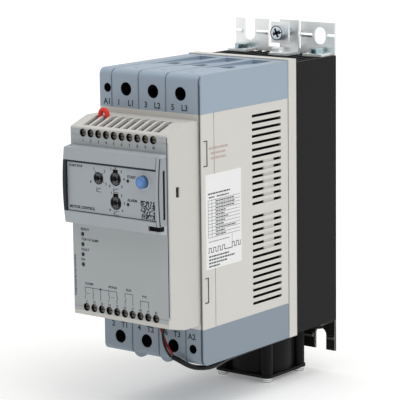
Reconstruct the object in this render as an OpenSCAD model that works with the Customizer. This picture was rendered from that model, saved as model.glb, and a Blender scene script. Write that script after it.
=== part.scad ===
// Panel-mount motor soft starter with heat sink, fan and control module.
// Every module is drawn in the body frame: X centred, Y backwards from the
// housing's front plane, Z up from the housing's bottom. placed() then moves
// the origin to the middle of the panel face, which is the fins' rear plane.

/* [Housing] */
// Width of the housing
body_w = 75; // [72:0.5:90]
// Height of the housing, both terminal covers included
body_h = 169.8; // [165:0.1:200]
// Depth from the housing's front plane to the base frame
body_d = 85; // [80:1:110]
// Depth of the front half, up to the side seam
front_d = 12.3; // [10:0.1:16]
// Wall of the housing and the covers
wall = 2; // [1.6:0.1:3]
// Height of the line-side terminal cover
line_cover_h = 22.5; // [20:0.5:28]
// Height of the load-side terminal cover
load_cover_h = 21.7; // [20:0.1:28]
// Rounding of a terminal cover's outer front edge
cover_edge_r = 4; // [2:0.5:6]
// Width of the grooves between the phases
groove_w = 1; // [0.6:0.1:1.6]
// Depth of the grooves between the phases
groove_d = 0.7; // [0.4:0.1:1.2]
// Width of the upright groove at the right front corner
corner_groove_w = 1.4; // [1:0.1:2.5]
// Height of a snap window in the side
snap_h = 14.8; // [10:0.2:18]
// Depth of a snap window along the side
snap_d = 3.8; // [3:0.1:5]

/* [Vents] */
// Vent slots in each of the two groups on a side
vent_count = 14; // [6:1:14]
// Distance of the last vent slot from a terminal cover
vent_end = 6.5; // [5:0.1:12]
// Height of a vent slot
vent_h = 1.6; // [0.8:0.1:1.8]
// Length of a vent slot
vent_len = 29; // [15:1:32]
// Distance of the vents' rear end from the base frame
vent_rear = 7.5; // [4:0.5:12]

/* [Power terminals] */
// Width of the control supply's section beside the three phases
supply_section = 14.4; // [13:0.1:16]
// First line terminal's distance from the left side
line_inset = 20; // [18.5:0.1:21.5]
// First load terminal's distance from the left side
load_inset = 12.2; // [11.5:0.1:13.5]
// Diameter of a driver hole
driver_d = 8; // [7:0.1:8.6]
// Driver hole below the line cover's top
line_drop = 11.4; // [10:0.1:12.5]
// Driver hole above the load cover's bottom
load_rise = 9.4; // [8.6:0.1:11]
// Diameter of the control supply's driver holes
supply_d = 5.4; // [4.6:0.1:6]
// Line-side supply terminal's distance from the left side
supply_line_in = 5.9; // [5.5:0.1:6.5]
// Load-side supply terminal's distance from the right side
supply_load_in = 7.9; // [7:0.1:8.5]
// Width of a cage clamp
clamp_w = 12; // [11:0.2:13]
// Depth of a cage clamp
clamp_d = 20; // [18:0.5:22]
// Height of a cage clamp
clamp_h = 10; // [8:0.5:12]
// Wall of a cage clamp
clamp_wall = 2; // [1.5:0.1:2.4]
// Cage clamp behind the housing's front plane
clamp_y = 39; // [37:0.5:44]
// Diameter of a clamp screw
clamp_screw_d = 5; // [4:0.1:5]
// Diameter of a clamp screw's head
clamp_head_d = 6.8; // [6:0.1:7]
// Width of a copper bar
bar_w = 8; // [6:0.2:8]
// Thickness of a copper bar
bar_t = 2; // [1:0.1:2.5]

/* [Heat sink] */
// Width over the side walls beyond the housing's width
sink_over = 0.8; // [0:0.1:3]
// Height of the housing beyond the extrusion's height
sink_short = 2.8; // [2.6:0.1:3.6]
// Depth from the base frame to the fins' rear ends
fin_d = 42.5; // [35:0.5:60]
// Outermost fin's distance from the heat sink's side
fin_edge = 5.9; // [5:0.1:7]
// Fins on each side of the middle one
fin_pairs = 5; // [5:1:5]
// Thickness of a fin
fin_t = 1.5; // [1:0.1:1.6]
// Thickness of a side wall
sink_wall = 2.5; // [1.5:0.1:3]
// Thickness of the web that carries the fins
web_t = 3.2; // [2.5:0.1:6]
// Heat sink above the housing's bottom
sink_z = 1.3; // [1:0.1:1.6]

/* [Base frame] */
// Depth of the frame between housing and heat sink
frame_d = 7.8; // [6:0.1:10]
// Width of the frame's side rim
rim_w = 4; // [3:0.1:4.5]
// Height of the frame over the housing's top
frame_over = 0.7; // [0.4:0.1:2]

/* [Control module] */
// Step from the housing's side to the control module's side
module_in = 2; // [1.5:0.1:3.5]
// Depth of the control module in front of the housing
module_d = 29; // [26:0.5:34]
// Lower edge of the module's front above the housing's bottom
module_z = 28; // [27:0.1:30]
// Height of the housing beyond the module's front
module_room = 58.9; // [57.8:0.1:61.8]
// Rise of the sloping ends
slope_rise = 5; // [4:0.1:5.6]
// Drop of the lower sloping end
slope_drop = 3.4; // [2:0.1:4]
// Depth of the sloping ends
slope_d = 14.5; // [12:0.5:17]
// Wall of the module
module_wall = 1.8; // [1.4:0.1:2.2]
// Thickness of the module's grey front plate
plate_t = 1.8; // [1.4:0.1:2.2]
// Control terminals in a row
terminal_count = 10; // [4:1:10]
// Distance between two control terminals
terminal_pitch = 5.8; // [5:0.1:6]
// Upper screw row below the module's upper front edge
upper_inset = 3.2; // [3:0.1:4]
// Lower screw row above the module's lower front edge
lower_inset = 4.8; // [3:0.1:5.4]
// Diameter of a control terminal screw
screw_d = 3.6; // [3:0.1:3.8]
// Width of a wire entry in the sloping ends
channel_w = 3.8; // [3:0.1:3.9]
// Diameter of the insulated jumper between two control terminals
jumper_d = 3.2; // [2.4:0.1:3.6]
// Diameter of a status light
light_d = 2; // [1.4:0.1:2.4]
// Distance between two status lights
light_pitch = 6; // [5:0.1:6.5]

/* [Settings cover] */
// Height of the raised band at its root
band_h = 46; // [45:0.5:47]
// Upper edge of the band below the module's upper front edge
band_drop = 10.4; // [9.4:0.1:11.4]
// Reach of the band in front of the module at its crown
band_d = 8; // [7:0.1:9]
// Height of the crown over the band's front edges
band_crown = 1.7; // [1:0.1:2]
// Draft of the band's upper and lower faces
band_draft = 1.4; // [0.6:0.1:2]
// Wall of the settings cover
cover_wall = 1.6; // [1.2:0.1:1.8]
// Height of the flat field that holds the dials
field_h = 30; // [28:0.5:32]
// Flat field's distance from the cover's right side
field_in = 2.5; // [2:0.1:4]
// Depth of the field under the crown
field_deep = 1.8; // [1.7:0.1:2.2]
// Running gap between the settings cover and the module
cover_gap = 0.4; // [0.3:0.05:0.6]
// Diameter of a hinge pin
pin_d = 2; // [1.6:0.1:2.2]
// Diameter of the two right-hand setting dials
dial_d = 7; // [6:0.1:7.4]
// Diameter of the left-hand setting dial
dial_left_d = 6.2; // [5.4:0.1:7]
// Diameter of the reset button
button_d = 7; // [6:0.1:7.4]
// Reach of the button's dome out of the field
button_out = 3; // [2:0.1:4]
// Travel of the reset button
button_travel = 1; // [0.5:0.1:1.2]
// Gap round dials and button
dial_gap = 0.5; // [0.4:0.05:0.7]

/* [Fan] */
// Side of the fan
fan_w = 42; // [40:0.1:42.4]
// Thickness of the fan
fan_t = 30.5; // [20:0.5:32]
// Distance between the fan's screws
fan_bolts = 34; // [32:0.1:34.4]
// Blades of the rotor
blade_count = 7; // [5:1:9]
// Diameter of the rotor's hub
hub_d = 20; // [16:0.5:22]
// Gap between the blades and the frame
blade_gap = 0.5; // [0.4:0.05:0.8]

/* [Brackets] */
// Thickness of the zinc sheet
sheet_t = 1.5; // [1:0.1:2]
// Height of a bracket beyond the heat sink's end
bracket_h = 20; // [18:0.5:26]
// Distance of a fixing hole from the middle
fixing_x = 27; // [24:0.5:27]
// Width of the fixing slots
fixing_w = 8.4; // [7:0.1:8.8]
// Length of the closed fixing slot
fixing_len = 10.6; // [9:0.1:11]
// Height of the fixing above the heat sink's end
fixing_up = 11.7; // [10:0.1:12.5]
// Reach of the stiffening rib in front of the sheet
rib_out = 1; // [0.6:0.1:1.2]
// Diameter of the bracket screws
bracket_screw_d = 4.6; // [3.5:0.1:4.6]

/* [Earth terminal] */
// Width of the earth terminal
earth_w = 14; // [12:0.5:15]
// Clear space for the earth cable
earth_space = 8; // [6:0.5:9]
// Side of the clamping plate
earth_plate_w = 13; // [11:0.5:13.5]
// Thickness of the clamping plate
earth_plate_t = 1.8; // [1.2:0.1:2.4]
// Diameter of the earth screw
earth_screw_d = 5; // [4:0.1:6]

/* [Hidden] */
$fn = 48;
eps = 0.01;

// Colours of the materials
pale_grey = "#d3d1cc";
blue_grey = "#9aa5b0";
mid_grey = "#969ca0";
black_anodised = "#2b2b2d";
zinc = "#c9ccd0";
copper = "#b87a4b";
board_green = "#2f6b46";
dark_grey = "#45484c";
relay_grey = "#5d6166";

// Main planes of the body frame
half_w = body_w / 2;
line_z = body_h - line_cover_h;
middle_h = line_z - load_cover_h;
sink_w = body_w + sink_over;
sink_h = body_h - sink_short;
fin_pitch = (sink_w / 2 - fin_edge) / fin_pairs;
frame_back = body_d + frame_d;
panel_y = frame_back + fin_d;
sink_top = sink_z + sink_h;
sink_mid = sink_z + sink_h / 2;
inner_half = half_w - wall;
seat_gap = 0.1;
drive_depth = 0.4;
lap = 1;

// Heat sink and frame
base_half = sink_w / 2 - rim_w - seat_gap;

// Power terminals
phases = [0, 1, 2];
phase_pitch = (body_w - supply_section) / len(phases);
line_x = -half_w + line_inset;
load_x = -half_w + load_inset;
supply_line_x = -half_w + supply_line_in;
supply_load_x = half_w - supply_load_in;
line_hole_z = body_h - line_drop;
load_hole_z = load_rise;
clamp_room = clamp_d - 2 * clamp_wall;
bar_y = clamp_y + clamp_d - clamp_wall - bar_t;
block_x = (line_x + load_x) / 2;
block_gap = 1.2;
block_w = phase_pitch - block_gap;
block_y = bar_y + bar_t;
block_end = 22.8;
block_h = middle_h - 2 * block_end;
block_mid = (line_z + load_cover_h) / 2;
bar_lap = 20;
entry_w = clamp_w - 2 * clamp_wall;
entry_y = clamp_y + clamp_wall - lap;
entry_d = clamp_room - 2 * bar_t;
pan_half = 7.2;
pan_y = 28;
pan_end = 5.5;
pan_h = 2.4;
pan_floor = 1.8;
guide_wall = 1.4;
guide_gap = 2;
head_len = 4;
clamp_drive_w = 1;
screw_y = clamp_y - 2 * head_len;
guide_end = screw_y - guide_gap;
slot_clear = 0.3;
snap_y = 1.8;
snap_in = 22.8;
snap_rise = middle_h / 2 - snap_in;
tongue_t = 1.2;
corner_in = 0.7;
corner_groove_x = half_w - corner_groove_w - corner_in;
corner_groove_d = 1.6;
supply_w = 6.4;
supply_screw_d = 3;
foot_t = 1.5;
mark_slot_w = 4;
mark_slot_y = 10;
groove_edge = 8;
groove_shift = 0.7;
bump_at = 0.7;
bump_r = 5.8;
bump_out = 1.5;
bump_y = 1.2;
seam_w = 0.6;
seam_d = 0.4;
vent_pitch = (middle_h / 2 - vent_end) / vent_count;

// Boards and relays
board_t = 1.6;
board_ahead = 14;
power_board_y = clamp_y - board_ahead;
relay_w = 16;
relay_h = 46;
relay_gap = 2;
relay_d = bar_y - power_board_y - board_t - relay_gap;
link_w = 24;
link_h = 10;

// Control module
module_w = body_w - 2 * module_in;
module_h = body_h - module_room;
module_half = module_w / 2;
module_top = module_z + module_h;
module_front = -module_d;
module_roof = module_top + slope_rise;
module_floor = module_z - slope_drop;
module_inner = module_half - module_wall;
plate_back = module_front + plate_t;
terminal_x0 = -(terminal_count - 1) * terminal_pitch / 2;
upper_row_z = module_top - upper_inset;
lower_row_z = module_z + lower_inset;
terminal_h = 9;
lip_top = 4.3;
lip_low = 5;
channel_in = 1;
channel_over = 3;
channel_front = plate_back + channel_in;
channel_back = module_front + slope_d + channel_over;
board_gap = 0.5;
control_board_y = channel_back + board_gap;
wire_in = 2;
wire_y = channel_back - wire_in;
wire_hole_d = 3;
wire_deep = 5;
jumper_rise = 2;
jumper_core_d = 2.2;
jumper_collar = 1.8;
screw_len = 4;
screw_head_h = 2.2;
screw_neck = 1;
screw_gap = 0.6;
drive_w = 0.8;
screw_sink = 1.1;
side_window_y = -20.9;
side_window_w = 3;
side_window_h = 6;
light_in = 7.5;
light_drop = 6.5;
light_x = -module_half + light_in;
light_rows = 4;
light_proud = 0.2;
hole_gap = 0.2;

// Settings cover, its field, and what reaches through it
band_z = module_top - band_drop - band_h;
light_z = band_z - light_drop;
band_mid = band_z + band_h / 2;
band_back = module_front - cover_gap;
band_front = module_front - band_d;
edge_front = band_front + band_crown;
edge_half = band_h / 2 - band_draft;
crown_r = (edge_half * edge_half + band_crown * band_crown) / (2 * band_crown);
field_y = band_front + field_deep;
hinge_r = 2.1;
hinge_x = -module_half + hinge_r;
hinge_y = module_front - cover_gap - hinge_r;
pin_gap = 0.05;
pin_len = cover_wall;
lug_h = 3;
lug_gap = 0.3;
lug_r = 1.8;
roof_half = band_h / 2 - band_draft - cover_wall;
dial_left_x = -9.6;
dial_left_up = 6;
dial_right_x = 3.1;
dial_upper_up = 6.8;
dial_lower_down = 7;
button_x = 23.6;
button_up = 7;
dial_left_at = [dial_left_x, band_mid + dial_left_up];
dial_upper_at = [dial_right_x, band_mid + dial_upper_up];
dial_lower_at = [dial_right_x, band_mid - dial_lower_down];
button_at = [button_x, band_mid + button_up];
dial_spots = [dial_left_at, dial_upper_at, dial_lower_at];
dial_sizes = [dial_left_d, dial_d, dial_d];
dial_head = 2.6;
dial_proud = 0.2;
shaft_d = 4;
trimmer_w = 8;
trimmer_gap = 0.6;
trimmer_front = plate_back + trimmer_gap;
stem_d = 3;
flange_t = 0.8;
flange_over = 0.8;
switch_w = 6;
switch_gap = 1;
switch_front = plate_back + switch_gap;
stem_gap = 0.3;
key_w = 3.2;
key_h = 1.9;
slot_deep = 1;
side_slot_in = 1.4;
notch_deep = 3.4;
mode_in = 11.5;
mode_down = 4;
mode_at = [-module_half + mode_in, band_mid - mode_down];
mode_w = 8;
mode_h = 16;
side_slot_h = 28;
side_slot_w = 1.8;
notch_w = 8.5;
notch_h = 2.8;
notch_up = 2.6;
field_right = module_half - field_in;
end_groove_w = 0.5;
end_groove_d = 0.3;

// Fan
fan_setback = 0.6;
fan_z = sink_z - fan_t;
fan_y = body_d + fan_setback + fan_w / 2;
barrel_r = fan_w / 2 - lap;
barrel_wall = 1.3;
bore_r = barrel_r - barrel_wall;
post_d = 7.4;
post_web = 4;
flange_h = 3.5;
foot_flange_h = 1.8;
fan_corner_r = 3;
fan_hole_d = 4.3;
fan_screw_d = 4;
fan_head_d = 7;
fan_head_h = 3;
screw_reach = 9;
motor_d = hub_d - 2;
axle_d = 3;
spider_t = 2.5;
strut_w = 3;
strut_in = 0.5;
spider_z = sink_z - spider_t - fan_setback;
rotor_gap = 1;
hub_floor = 2;
rotor_t = fan_t - spider_t - 4 * rotor_gap;
blade_t = 1.1;
blade_tilt = 38;

// Brackets
bracket_half = sink_w / 2;
bracket_y = panel_y - sheet_t;
rib_h = 2.6;
pad_rim = 1.4;
strip_h = 3;
tab_w = 14;
tab_d = 13;
tab_x = (fin_pairs - 1 / 2) * fin_pitch;
tab_screw_y = panel_y - tab_d / 2 - lap;
pan_head_d = 9;
pan_head_h = 3.2;
tab_screw_len = 10;

// Earth terminal
foot_screw_x = fin_pitch / 2;
earth_side = 3;
earth_x = foot_screw_x + earth_w / 2 - earth_side;
upright_room = 5.25;
upright_y = panel_y - sheet_t - upright_room;
earth_top = sink_top + bracket_h + lap;
earth_drop = 0.5;
earth_screw_z = earth_top - earth_plate_w / 2 - earth_drop;
foot_d = 12;
earth_head_d = 9.3;
earth_head_h = 3.5;
clamp_plate_y = upright_y - earth_space - earth_plate_t;
nut_af = 8;
nut_h = 3.5;
earth_drive_w = 1.2;
foot_head_d = 8;
foot_head_h = 2.4;
ear_gap = 1.2;
ear_inner = earth_x + nut_af / 2 + ear_gap;

// Fan lead: hand-chosen points of its route in the body frame
wire_d = 1.5;
sleeve_d = 3;
lead_at = [12.4, -6.8];
lead_hole_d = 5.8;
lead_rise = 4;
lead_top = module_floor + module_wall + lead_rise;
red_route = [[10.9, -6.8, lead_top], [10.9, -6.8, 24.6], [11, -6.1, 20.1], [11.2, -5.3, 17.5],
             [11.8, -4.9, 15.4], [12.9, -4.9, 13], [14.1, -4.8, 10.7], [15.6, -4.6, 8.5], [16.7, -4.3, 6.7],
             [17.4, -4, 5.1]];
black_route = [[13.9, -6.8, lead_top], [13.9, -6.8, 24.6], [13.5, -6.8, 20.3], [12.8, -6.8, 16.9],
               [13, -6.8, 14], [13.7, -6.6, 11], [14.7, -6, 8], [16, -5, 5.1], [16.7, -4.4, 3.8]];
sleeve_route = [[17.4, -3.9, 3.9], [20.4, -3.3, 2.8], [23.6, -2.4, 1.3], [26.8, -0.6, -0.5],
                [29.4, 1.6, -1.7], [31.9, 4.2, -2.2], [34, 7.8, -2.4], [34.6, 13, -2.5], [33.8, 20, -2.3],
                [32.4, 28, -2], [31.3, 37, -1.9], [30.8, 47, -1.9], [30.6, 58, -1.9], [30.5, 70, -1.9],
                [30.3, 82, -1.9], [29.6, 90, -1.9], [27.9, 95.4, -1.7], [25.3, 98.8, -1.2], [22.8, 100, -0.7],
                [21.02, 100, -0.7]];
cord_sides = 8;

module placed() {
    translate([0, -panel_y, -sink_mid]) children();
}

module box(low, high) {
    translate(low) cube(high - low);
}

module bore_y(x, z, from, to, d) {
    translate([x, from, z]) rotate([-90, 0, 0]) cylinder(d = d, h = to - from);
}

module bore_z(x, y, from, to, d) {
    translate([x, y, from]) cylinder(d = d, h = to - from);
}

// Turns a side profile, drawn with depth and height, into a bar across the part
module across(from, to) {
    translate([from, 0, 0]) rotate([90, 0, 90]) linear_extrude(to - from) children();
}

// Slotted screw with its head towards the front
module front_screw(head_d, head_h, shank_d, shank_len, slot_w) {
    rotate([-90, 0, 0]) difference() {
        union() {
            cylinder(d = head_d, h = head_h);
            cylinder(d = shank_d, h = head_h + shank_len);
        }
        translate([-head_d / 2, -slot_w / 2, -eps]) cube([head_d, slot_w, head_h * drive_depth]);
    }
}

// Heat sink extrusion
module sink_profile() {
    translate([-base_half, body_d]) square([2 * base_half, frame_d]);
    translate([-sink_w / 2, frame_back]) square([sink_w, web_t]);
    for (k = [-fin_pairs : fin_pairs])
        translate([k * fin_pitch - fin_t / 2, frame_back]) square([fin_t, fin_d]);
    for (side = [-1, 1])
        translate([side * (sink_w - sink_wall) / 2 - sink_wall / 2, frame_back])
            square([sink_wall, fin_d]);
}

module heat_sink() {
    color(black_anodised) placed() difference() {
        translate([0, 0, sink_z]) linear_extrude(sink_h) sink_profile();
        at_fan_bolts() bore_z(0, 0, sink_z - eps, sink_z + screw_reach, fan_screw_d + seat_gap);
    }
}

module base_frame() {
    rim_in = sink_w / 2 - rim_w;
    color(pale_grey) placed() difference() {
        box([-sink_w / 2, body_d, 0], [sink_w / 2, frame_back, body_h + frame_over]);
        box([-rim_in, body_d - eps, sink_z], [rim_in, frame_back + eps, sink_top]);
        box([-fan_w / 2 - slot_clear, body_d - eps, -eps],
            [fan_w / 2 + slot_clear, frame_back + eps, sink_z + eps]);
    }
}

// Side vents of the rear housing
module vents() {
    vent_y0 = body_d - vent_rear - vent_len;
    for (group = [-1, 1], k = [1 : vent_count])
        translate([-half_w - eps, vent_y0, block_mid + group * k * vent_pitch - vent_h / 2])
            cube([body_w + 2 * eps, vent_len, vent_h]);
}

// Places of the snap joints between the two halves of the housing, on both sides
module at_snaps() {
    for (z = [block_mid + snap_rise, block_mid - snap_rise], side = [0, 1])
        translate([0, 0, z]) mirror([side, 0, 0]) children();
}

// Tongue of the rear half with the hook that shows in the front half's window
module snap_tongue() {
    low = -snap_h / 2 + slot_clear;
    high = snap_h / 2 - slot_clear;
    outer = inner_half - slot_clear;
    box([outer - tongue_t, wall + slot_clear, low], [outer, front_d + snap_d, high]);
    box([outer - eps, snap_y + slot_clear, low], [half_w - slot_clear, snap_y + snap_d - slot_clear, high]);
    box([outer - eps, front_d, low], [inner_half + eps, front_d + snap_d, high]);
}

module rear_housing() {
    color(pale_grey) placed() {
        difference() {
            box([-half_w, front_d, load_cover_h], [half_w, body_d, line_z]);
            box([-inner_half, front_d - eps, load_cover_h + wall], [inner_half, body_d + eps, line_z - wall]);
            vents();
            for (k = phases) {
                bar_slot(line_x + k * phase_pitch, line_z);
                bar_slot(load_x + k * phase_pitch, load_cover_h);
            }
        }
        at_snaps() snap_tongue();
    }
}

// Slot that lets a copper bar through a wall of the housing
module bar_slot(x, z) {
    translate([x - bar_w / 2 - slot_clear, bar_y - slot_clear, z - wall - eps])
        cube([bar_w + 2 * slot_clear, bar_t + 2 * slot_clear, 2 * wall + 2 * eps]);
}

module corner_groove(from, to) {
    box([corner_groove_x, -eps, from - eps], [corner_groove_x + corner_groove_w, corner_groove_d, to + eps]);
}

module front_housing() {
    color(pale_grey) placed() difference() {
        box([-half_w, 0, load_cover_h], [half_w, front_d, line_z]);
        box([-inner_half, wall, load_cover_h + wall], [inner_half, front_d + eps, line_z - wall]);
        box([-link_w / 2 - slot_clear, -eps, block_mid - link_h / 2 - slot_clear],
            [link_w / 2 + slot_clear, wall + eps, block_mid + link_h / 2 + slot_clear]);
        at_snaps() box([inner_half - eps, snap_y, -snap_h / 2], [half_w + eps, snap_y + snap_d, snap_h / 2]);
        corner_groove(load_cover_h, line_z);
        for (side = [0, 1]) mirror([side, 0, 0])
            box([half_w - seam_d, front_d - seam_w, load_cover_h - eps],
                [half_w + eps, front_d + eps, line_z + eps]);
    }
}

// Side outline with its front upper corner rounded
module edge_outline(front, back, low, top, r) {
    translate([front + r, low]) square([back - front - r, top - low]);
    translate([front, low]) square([back - front, top - low - r]);
    translate([front + r, top - r]) circle(r = r);
}

// Terminal cover, drawn with its inner edge at height 0 and its outer face at height h
module terminal_cover(h, x0, hole_z, supply_x) {
    difference() {
        union() {
            difference() {
                across(-half_w, half_w) edge_outline(0, body_d, 0, h, cover_edge_r);
                across(-inner_half, inner_half)
                    edge_outline(wall, body_d - wall, -eps, h - wall, max(cover_edge_r - wall, eps));
            }
            for (k = phases) {
                bore_y(x0 + k * phase_pitch, hole_z, wall / 2, guide_end, driver_d + 2 * guide_wall);
                cable_pan(x0 + k * phase_pitch, h);
            }
            bore_y(supply_x, hole_z, wall / 2, guide_end, supply_d + 2 * guide_wall);
        }
        for (k = phases) {
            bore_y(x0 + k * phase_pitch, hole_z, -eps, guide_end + eps, driver_d);
            cable_entry(x0 + k * phase_pitch, h);
            translate([x0 + k * phase_pitch - mark_slot_w / 2, mark_slot_y, h - groove_d])
                cube([mark_slot_w, groove_w, groove_d + eps]);
        }
        bore_y(supply_x, hole_z, -eps, guide_end + eps, supply_d);
        for (k = [-0.5 : 1 : 2.5]) if (abs(x0 + k * phase_pitch) < half_w - groove_edge)
            divider_groove(x0 + k * phase_pitch - groove_shift, h);
        corner_groove(0, h);
    }
}

// Slab inside the cover that gives a cable pan its floor
module cable_pan(x, h) {
    box([x - pan_half - lap, pan_y - lap, h - pan_h - pan_floor],
        [x + pan_half + lap, body_d - pan_end + lap, h - wall + eps]);
}

// Cable entry: a pan that slopes down to the rear, with the window over the cage clamp
module cable_entry(x, h) {
    pan_back = body_d - pan_end;
    box([x - entry_w / 2, entry_y, h - pan_h - pan_floor - eps],
        [x + entry_w / 2, entry_y + entry_d, h + eps]);
    across(x - pan_half, x + pan_half)
        polygon([[pan_y, h], [pan_back, h - pan_h], [pan_back, h + eps], [pan_y, h + eps]]);
}

// Groove between two phases, over the front and the outer face
module divider_groove(x, h) {
    across(x - groove_w / 2, x + groove_w / 2) difference() {
        translate([-lap, -lap]) square([body_d + 2 * lap, h + 2 * lap]);
        edge_outline(groove_d, body_d + 2 * lap, -2 * lap, h - groove_d, cover_edge_r - groove_d);
    }
}

module line_cover() {
    color(blue_grey) placed() translate([0, 0, line_z])
        terminal_cover(line_cover_h, line_x, line_hole_z - line_z, supply_line_x);
}

module load_cover() {
    color(blue_grey) placed() translate([0, 0, load_cover_h]) mirror([0, 0, 1]) {
        terminal_cover(load_cover_h, load_x, load_cover_h - load_hole_z, supply_load_x);
        for (k = [0, 1]) foot_bump(load_x + (k + bump_at) * phase_pitch, load_cover_h);
    }
}

// Rounded foot under the load cover's front edge
module foot_bump(x, h) {
    intersection() {
        bore_y(x, h + bump_out - bump_r, bump_y, bump_y + wall, 2 * bump_r);
        box([x - bump_r, 0, h - wall], [x + bump_r, 2 * wall + bump_y, h + 2 * bump_out]);
    }
}

// Cage clamp with its cable way upright and its screw hole towards the front
module cage_clamp(x, z, w, screw) {
    difference() {
        box([x - w / 2, clamp_y, z - clamp_h / 2], [x + w / 2, clamp_y + clamp_d, z + clamp_h / 2]);
        box([x - w / 2 + clamp_wall, clamp_y + clamp_wall, z - clamp_h / 2 - eps],
            [x + w / 2 - clamp_wall, clamp_y + clamp_d - clamp_wall, z + clamp_h / 2 + eps]);
        bore_y(x, z, clamp_y - eps, clamp_y + clamp_wall + eps, screw + seat_gap);
    }
}

// Foot that holds a supply clamp to the side wall
module side_foot(from, to, z) {
    box([from, clamp_y + clamp_d - foot_t, z - foot_t], [to, clamp_y + clamp_d, z + foot_t]);
}

module clamp_screw(x, z, head_d, shank_d) {
    translate([x, screw_y, z])
        front_screw(head_d, head_len, shank_d, clamp_y + clamp_wall - screw_y - head_len, clamp_drive_w);
}

module line_clamps() {
    color(zinc) placed() for (k = phases)
        cage_clamp(line_x + k * phase_pitch, line_hole_z, clamp_w, clamp_screw_d);
}

module load_clamps() {
    color(zinc) placed() for (k = phases)
        cage_clamp(load_x + k * phase_pitch, load_hole_z, clamp_w, clamp_screw_d);
}

module line_clamp_screws() {
    color(zinc) placed() for (k = phases)
        clamp_screw(line_x + k * phase_pitch, line_hole_z, clamp_head_d, clamp_screw_d);
}

module load_clamp_screws() {
    color(zinc) placed() for (k = phases)
        clamp_screw(load_x + k * phase_pitch, load_hole_z, clamp_head_d, clamp_screw_d);
}

module supply_clamps() {
    color(zinc) placed() {
        cage_clamp(supply_line_x, line_hole_z, supply_w, supply_screw_d);
        side_foot(-inner_half, supply_line_x - supply_w / 2 + eps, line_hole_z);
        cage_clamp(supply_load_x, load_hole_z, supply_w, supply_screw_d);
        side_foot(supply_load_x + supply_w / 2 - eps, inner_half, load_hole_z);
    }
}

module supply_screws() {
    color(zinc) placed() {
        clamp_screw(supply_line_x, line_hole_z, supply_d - lap, supply_screw_d);
        clamp_screw(supply_load_x, load_hole_z, supply_d - lap, supply_screw_d);
    }
}

// Copper bars from the clamps to the thyristor blocks
module line_bars() {
    low = block_mid + block_h / 2 - bar_lap;
    color(copper) placed() for (k = phases)
        translate([line_x + k * phase_pitch - bar_w / 2, bar_y, low])
            cube([bar_w, bar_t, line_hole_z + clamp_h / 2 - low]);
}

module load_bars() {
    low = load_hole_z - clamp_h / 2;
    color(copper) placed() for (k = phases)
        translate([load_x + k * phase_pitch - bar_w / 2, bar_y, low])
            cube([bar_w, bar_t, block_mid - block_h / 2 + bar_lap - low]);
}

module thyristor_blocks() {
    color(dark_grey) placed() for (k = phases)
        translate([block_x + k * phase_pitch - block_w / 2, block_y, block_mid - block_h / 2])
            cube([block_w, body_d - block_y, block_h]);
}

module power_board() {
    color(board_green) placed()
        box([-inner_half, power_board_y, load_cover_h + wall],
            [inner_half, power_board_y + board_t, line_z - wall]);
}

module bypass_relays() {
    color(relay_grey) placed() for (k = phases)
        translate([block_x + k * phase_pitch - relay_w / 2, power_board_y + board_t, block_mid - relay_h / 2])
            cube([relay_w, relay_d, relay_h]);
}

module board_link() {
    color(dark_grey) placed()
        box([-link_w / 2, control_board_y + board_t, block_mid - link_h / 2],
            [link_w / 2, power_board_y, block_mid + link_h / 2]);
}

// Side view of the control module: both ends slope back from the front
module module_side(inset) {
    polygon([[0, module_floor + inset], [-module_d + slope_d, module_floor + inset],
             [module_front, module_z + inset], [module_front, module_top - inset],
             [-module_d + slope_d, module_roof - inset], [0, module_roof - inset]]);
}

module terminal_spots() {
    for (k = [0 : terminal_count - 1]) translate([terminal_x0 + k * terminal_pitch, 0, 0]) children();
}

module screw_holes(from, to) {
    terminal_spots() for (z = [upper_row_z, lower_row_z]) bore_y(0, z, from, to, screw_d + 2 * screw_gap);
}

// The lips over and under the front plate are scalloped by the two screw rows
module module_housing() {
    color(pale_grey) placed() difference() {
        union() {
            difference() {
                across(-module_half, module_half) module_side(0);
                across(-module_inner, module_inner) module_side(module_wall);
            }
            box([-module_half, module_front, module_z], [module_half, plate_back, module_z + lip_low]);
            box([-module_half, module_front, module_top - lip_top], [module_half, plate_back, module_top]);
        }
        box([-module_half - eps, module_front - eps, module_z + lip_low],
            [module_half + eps, plate_back, module_top - lip_top]);
        screw_holes(module_front - eps, plate_back + screw_head_h);
        terminal_spots() {
            box([-channel_w / 2, channel_front, upper_row_z],
                [channel_w / 2, channel_back, module_roof + eps]);
            box([-channel_w / 2, channel_front, module_floor - eps],
                [channel_w / 2, channel_back, lower_row_z]);
        }
        translate([module_inner - eps, side_window_y, band_mid - side_window_h / 2])
            cube([module_wall + 2 * eps, side_window_w, side_window_h]);
        bore_z(lead_at.x, lead_at.y, module_floor - eps, module_floor + module_wall + eps, lead_hole_d);
    }
}

module module_panel() {
    color(mid_grey) placed() difference() {
        union() {
            box([-module_half, module_front, module_z + lip_low + seat_gap],
                [module_half, plate_back - seat_gap, module_top - lip_top - seat_gap]);
            for (side = [-1, 1]) hinge_lug(side);
        }
        screw_holes(module_front - eps, plate_back);
        for (k = [0 : light_rows - 1])
            bore_y(light_x, light_z - k * light_pitch, module_front - eps, plate_back,
                   light_d + 2 * hole_gap);
        for (spot = dial_spots)
            bore_y(spot.x, spot.y, module_front - eps, plate_back, shaft_d + 2 * dial_gap);
        bore_y(button_at.x, button_at.y, module_front - eps, plate_back, stem_d + 2 * dial_gap);
        box([mode_at.x - mode_w / 2 - hole_gap, module_front - eps, mode_at.y - mode_h / 2 - hole_gap],
            [mode_at.x + mode_w / 2 + hole_gap, plate_back, mode_at.y + mode_h / 2 + hole_gap]);
    }
}

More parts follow.
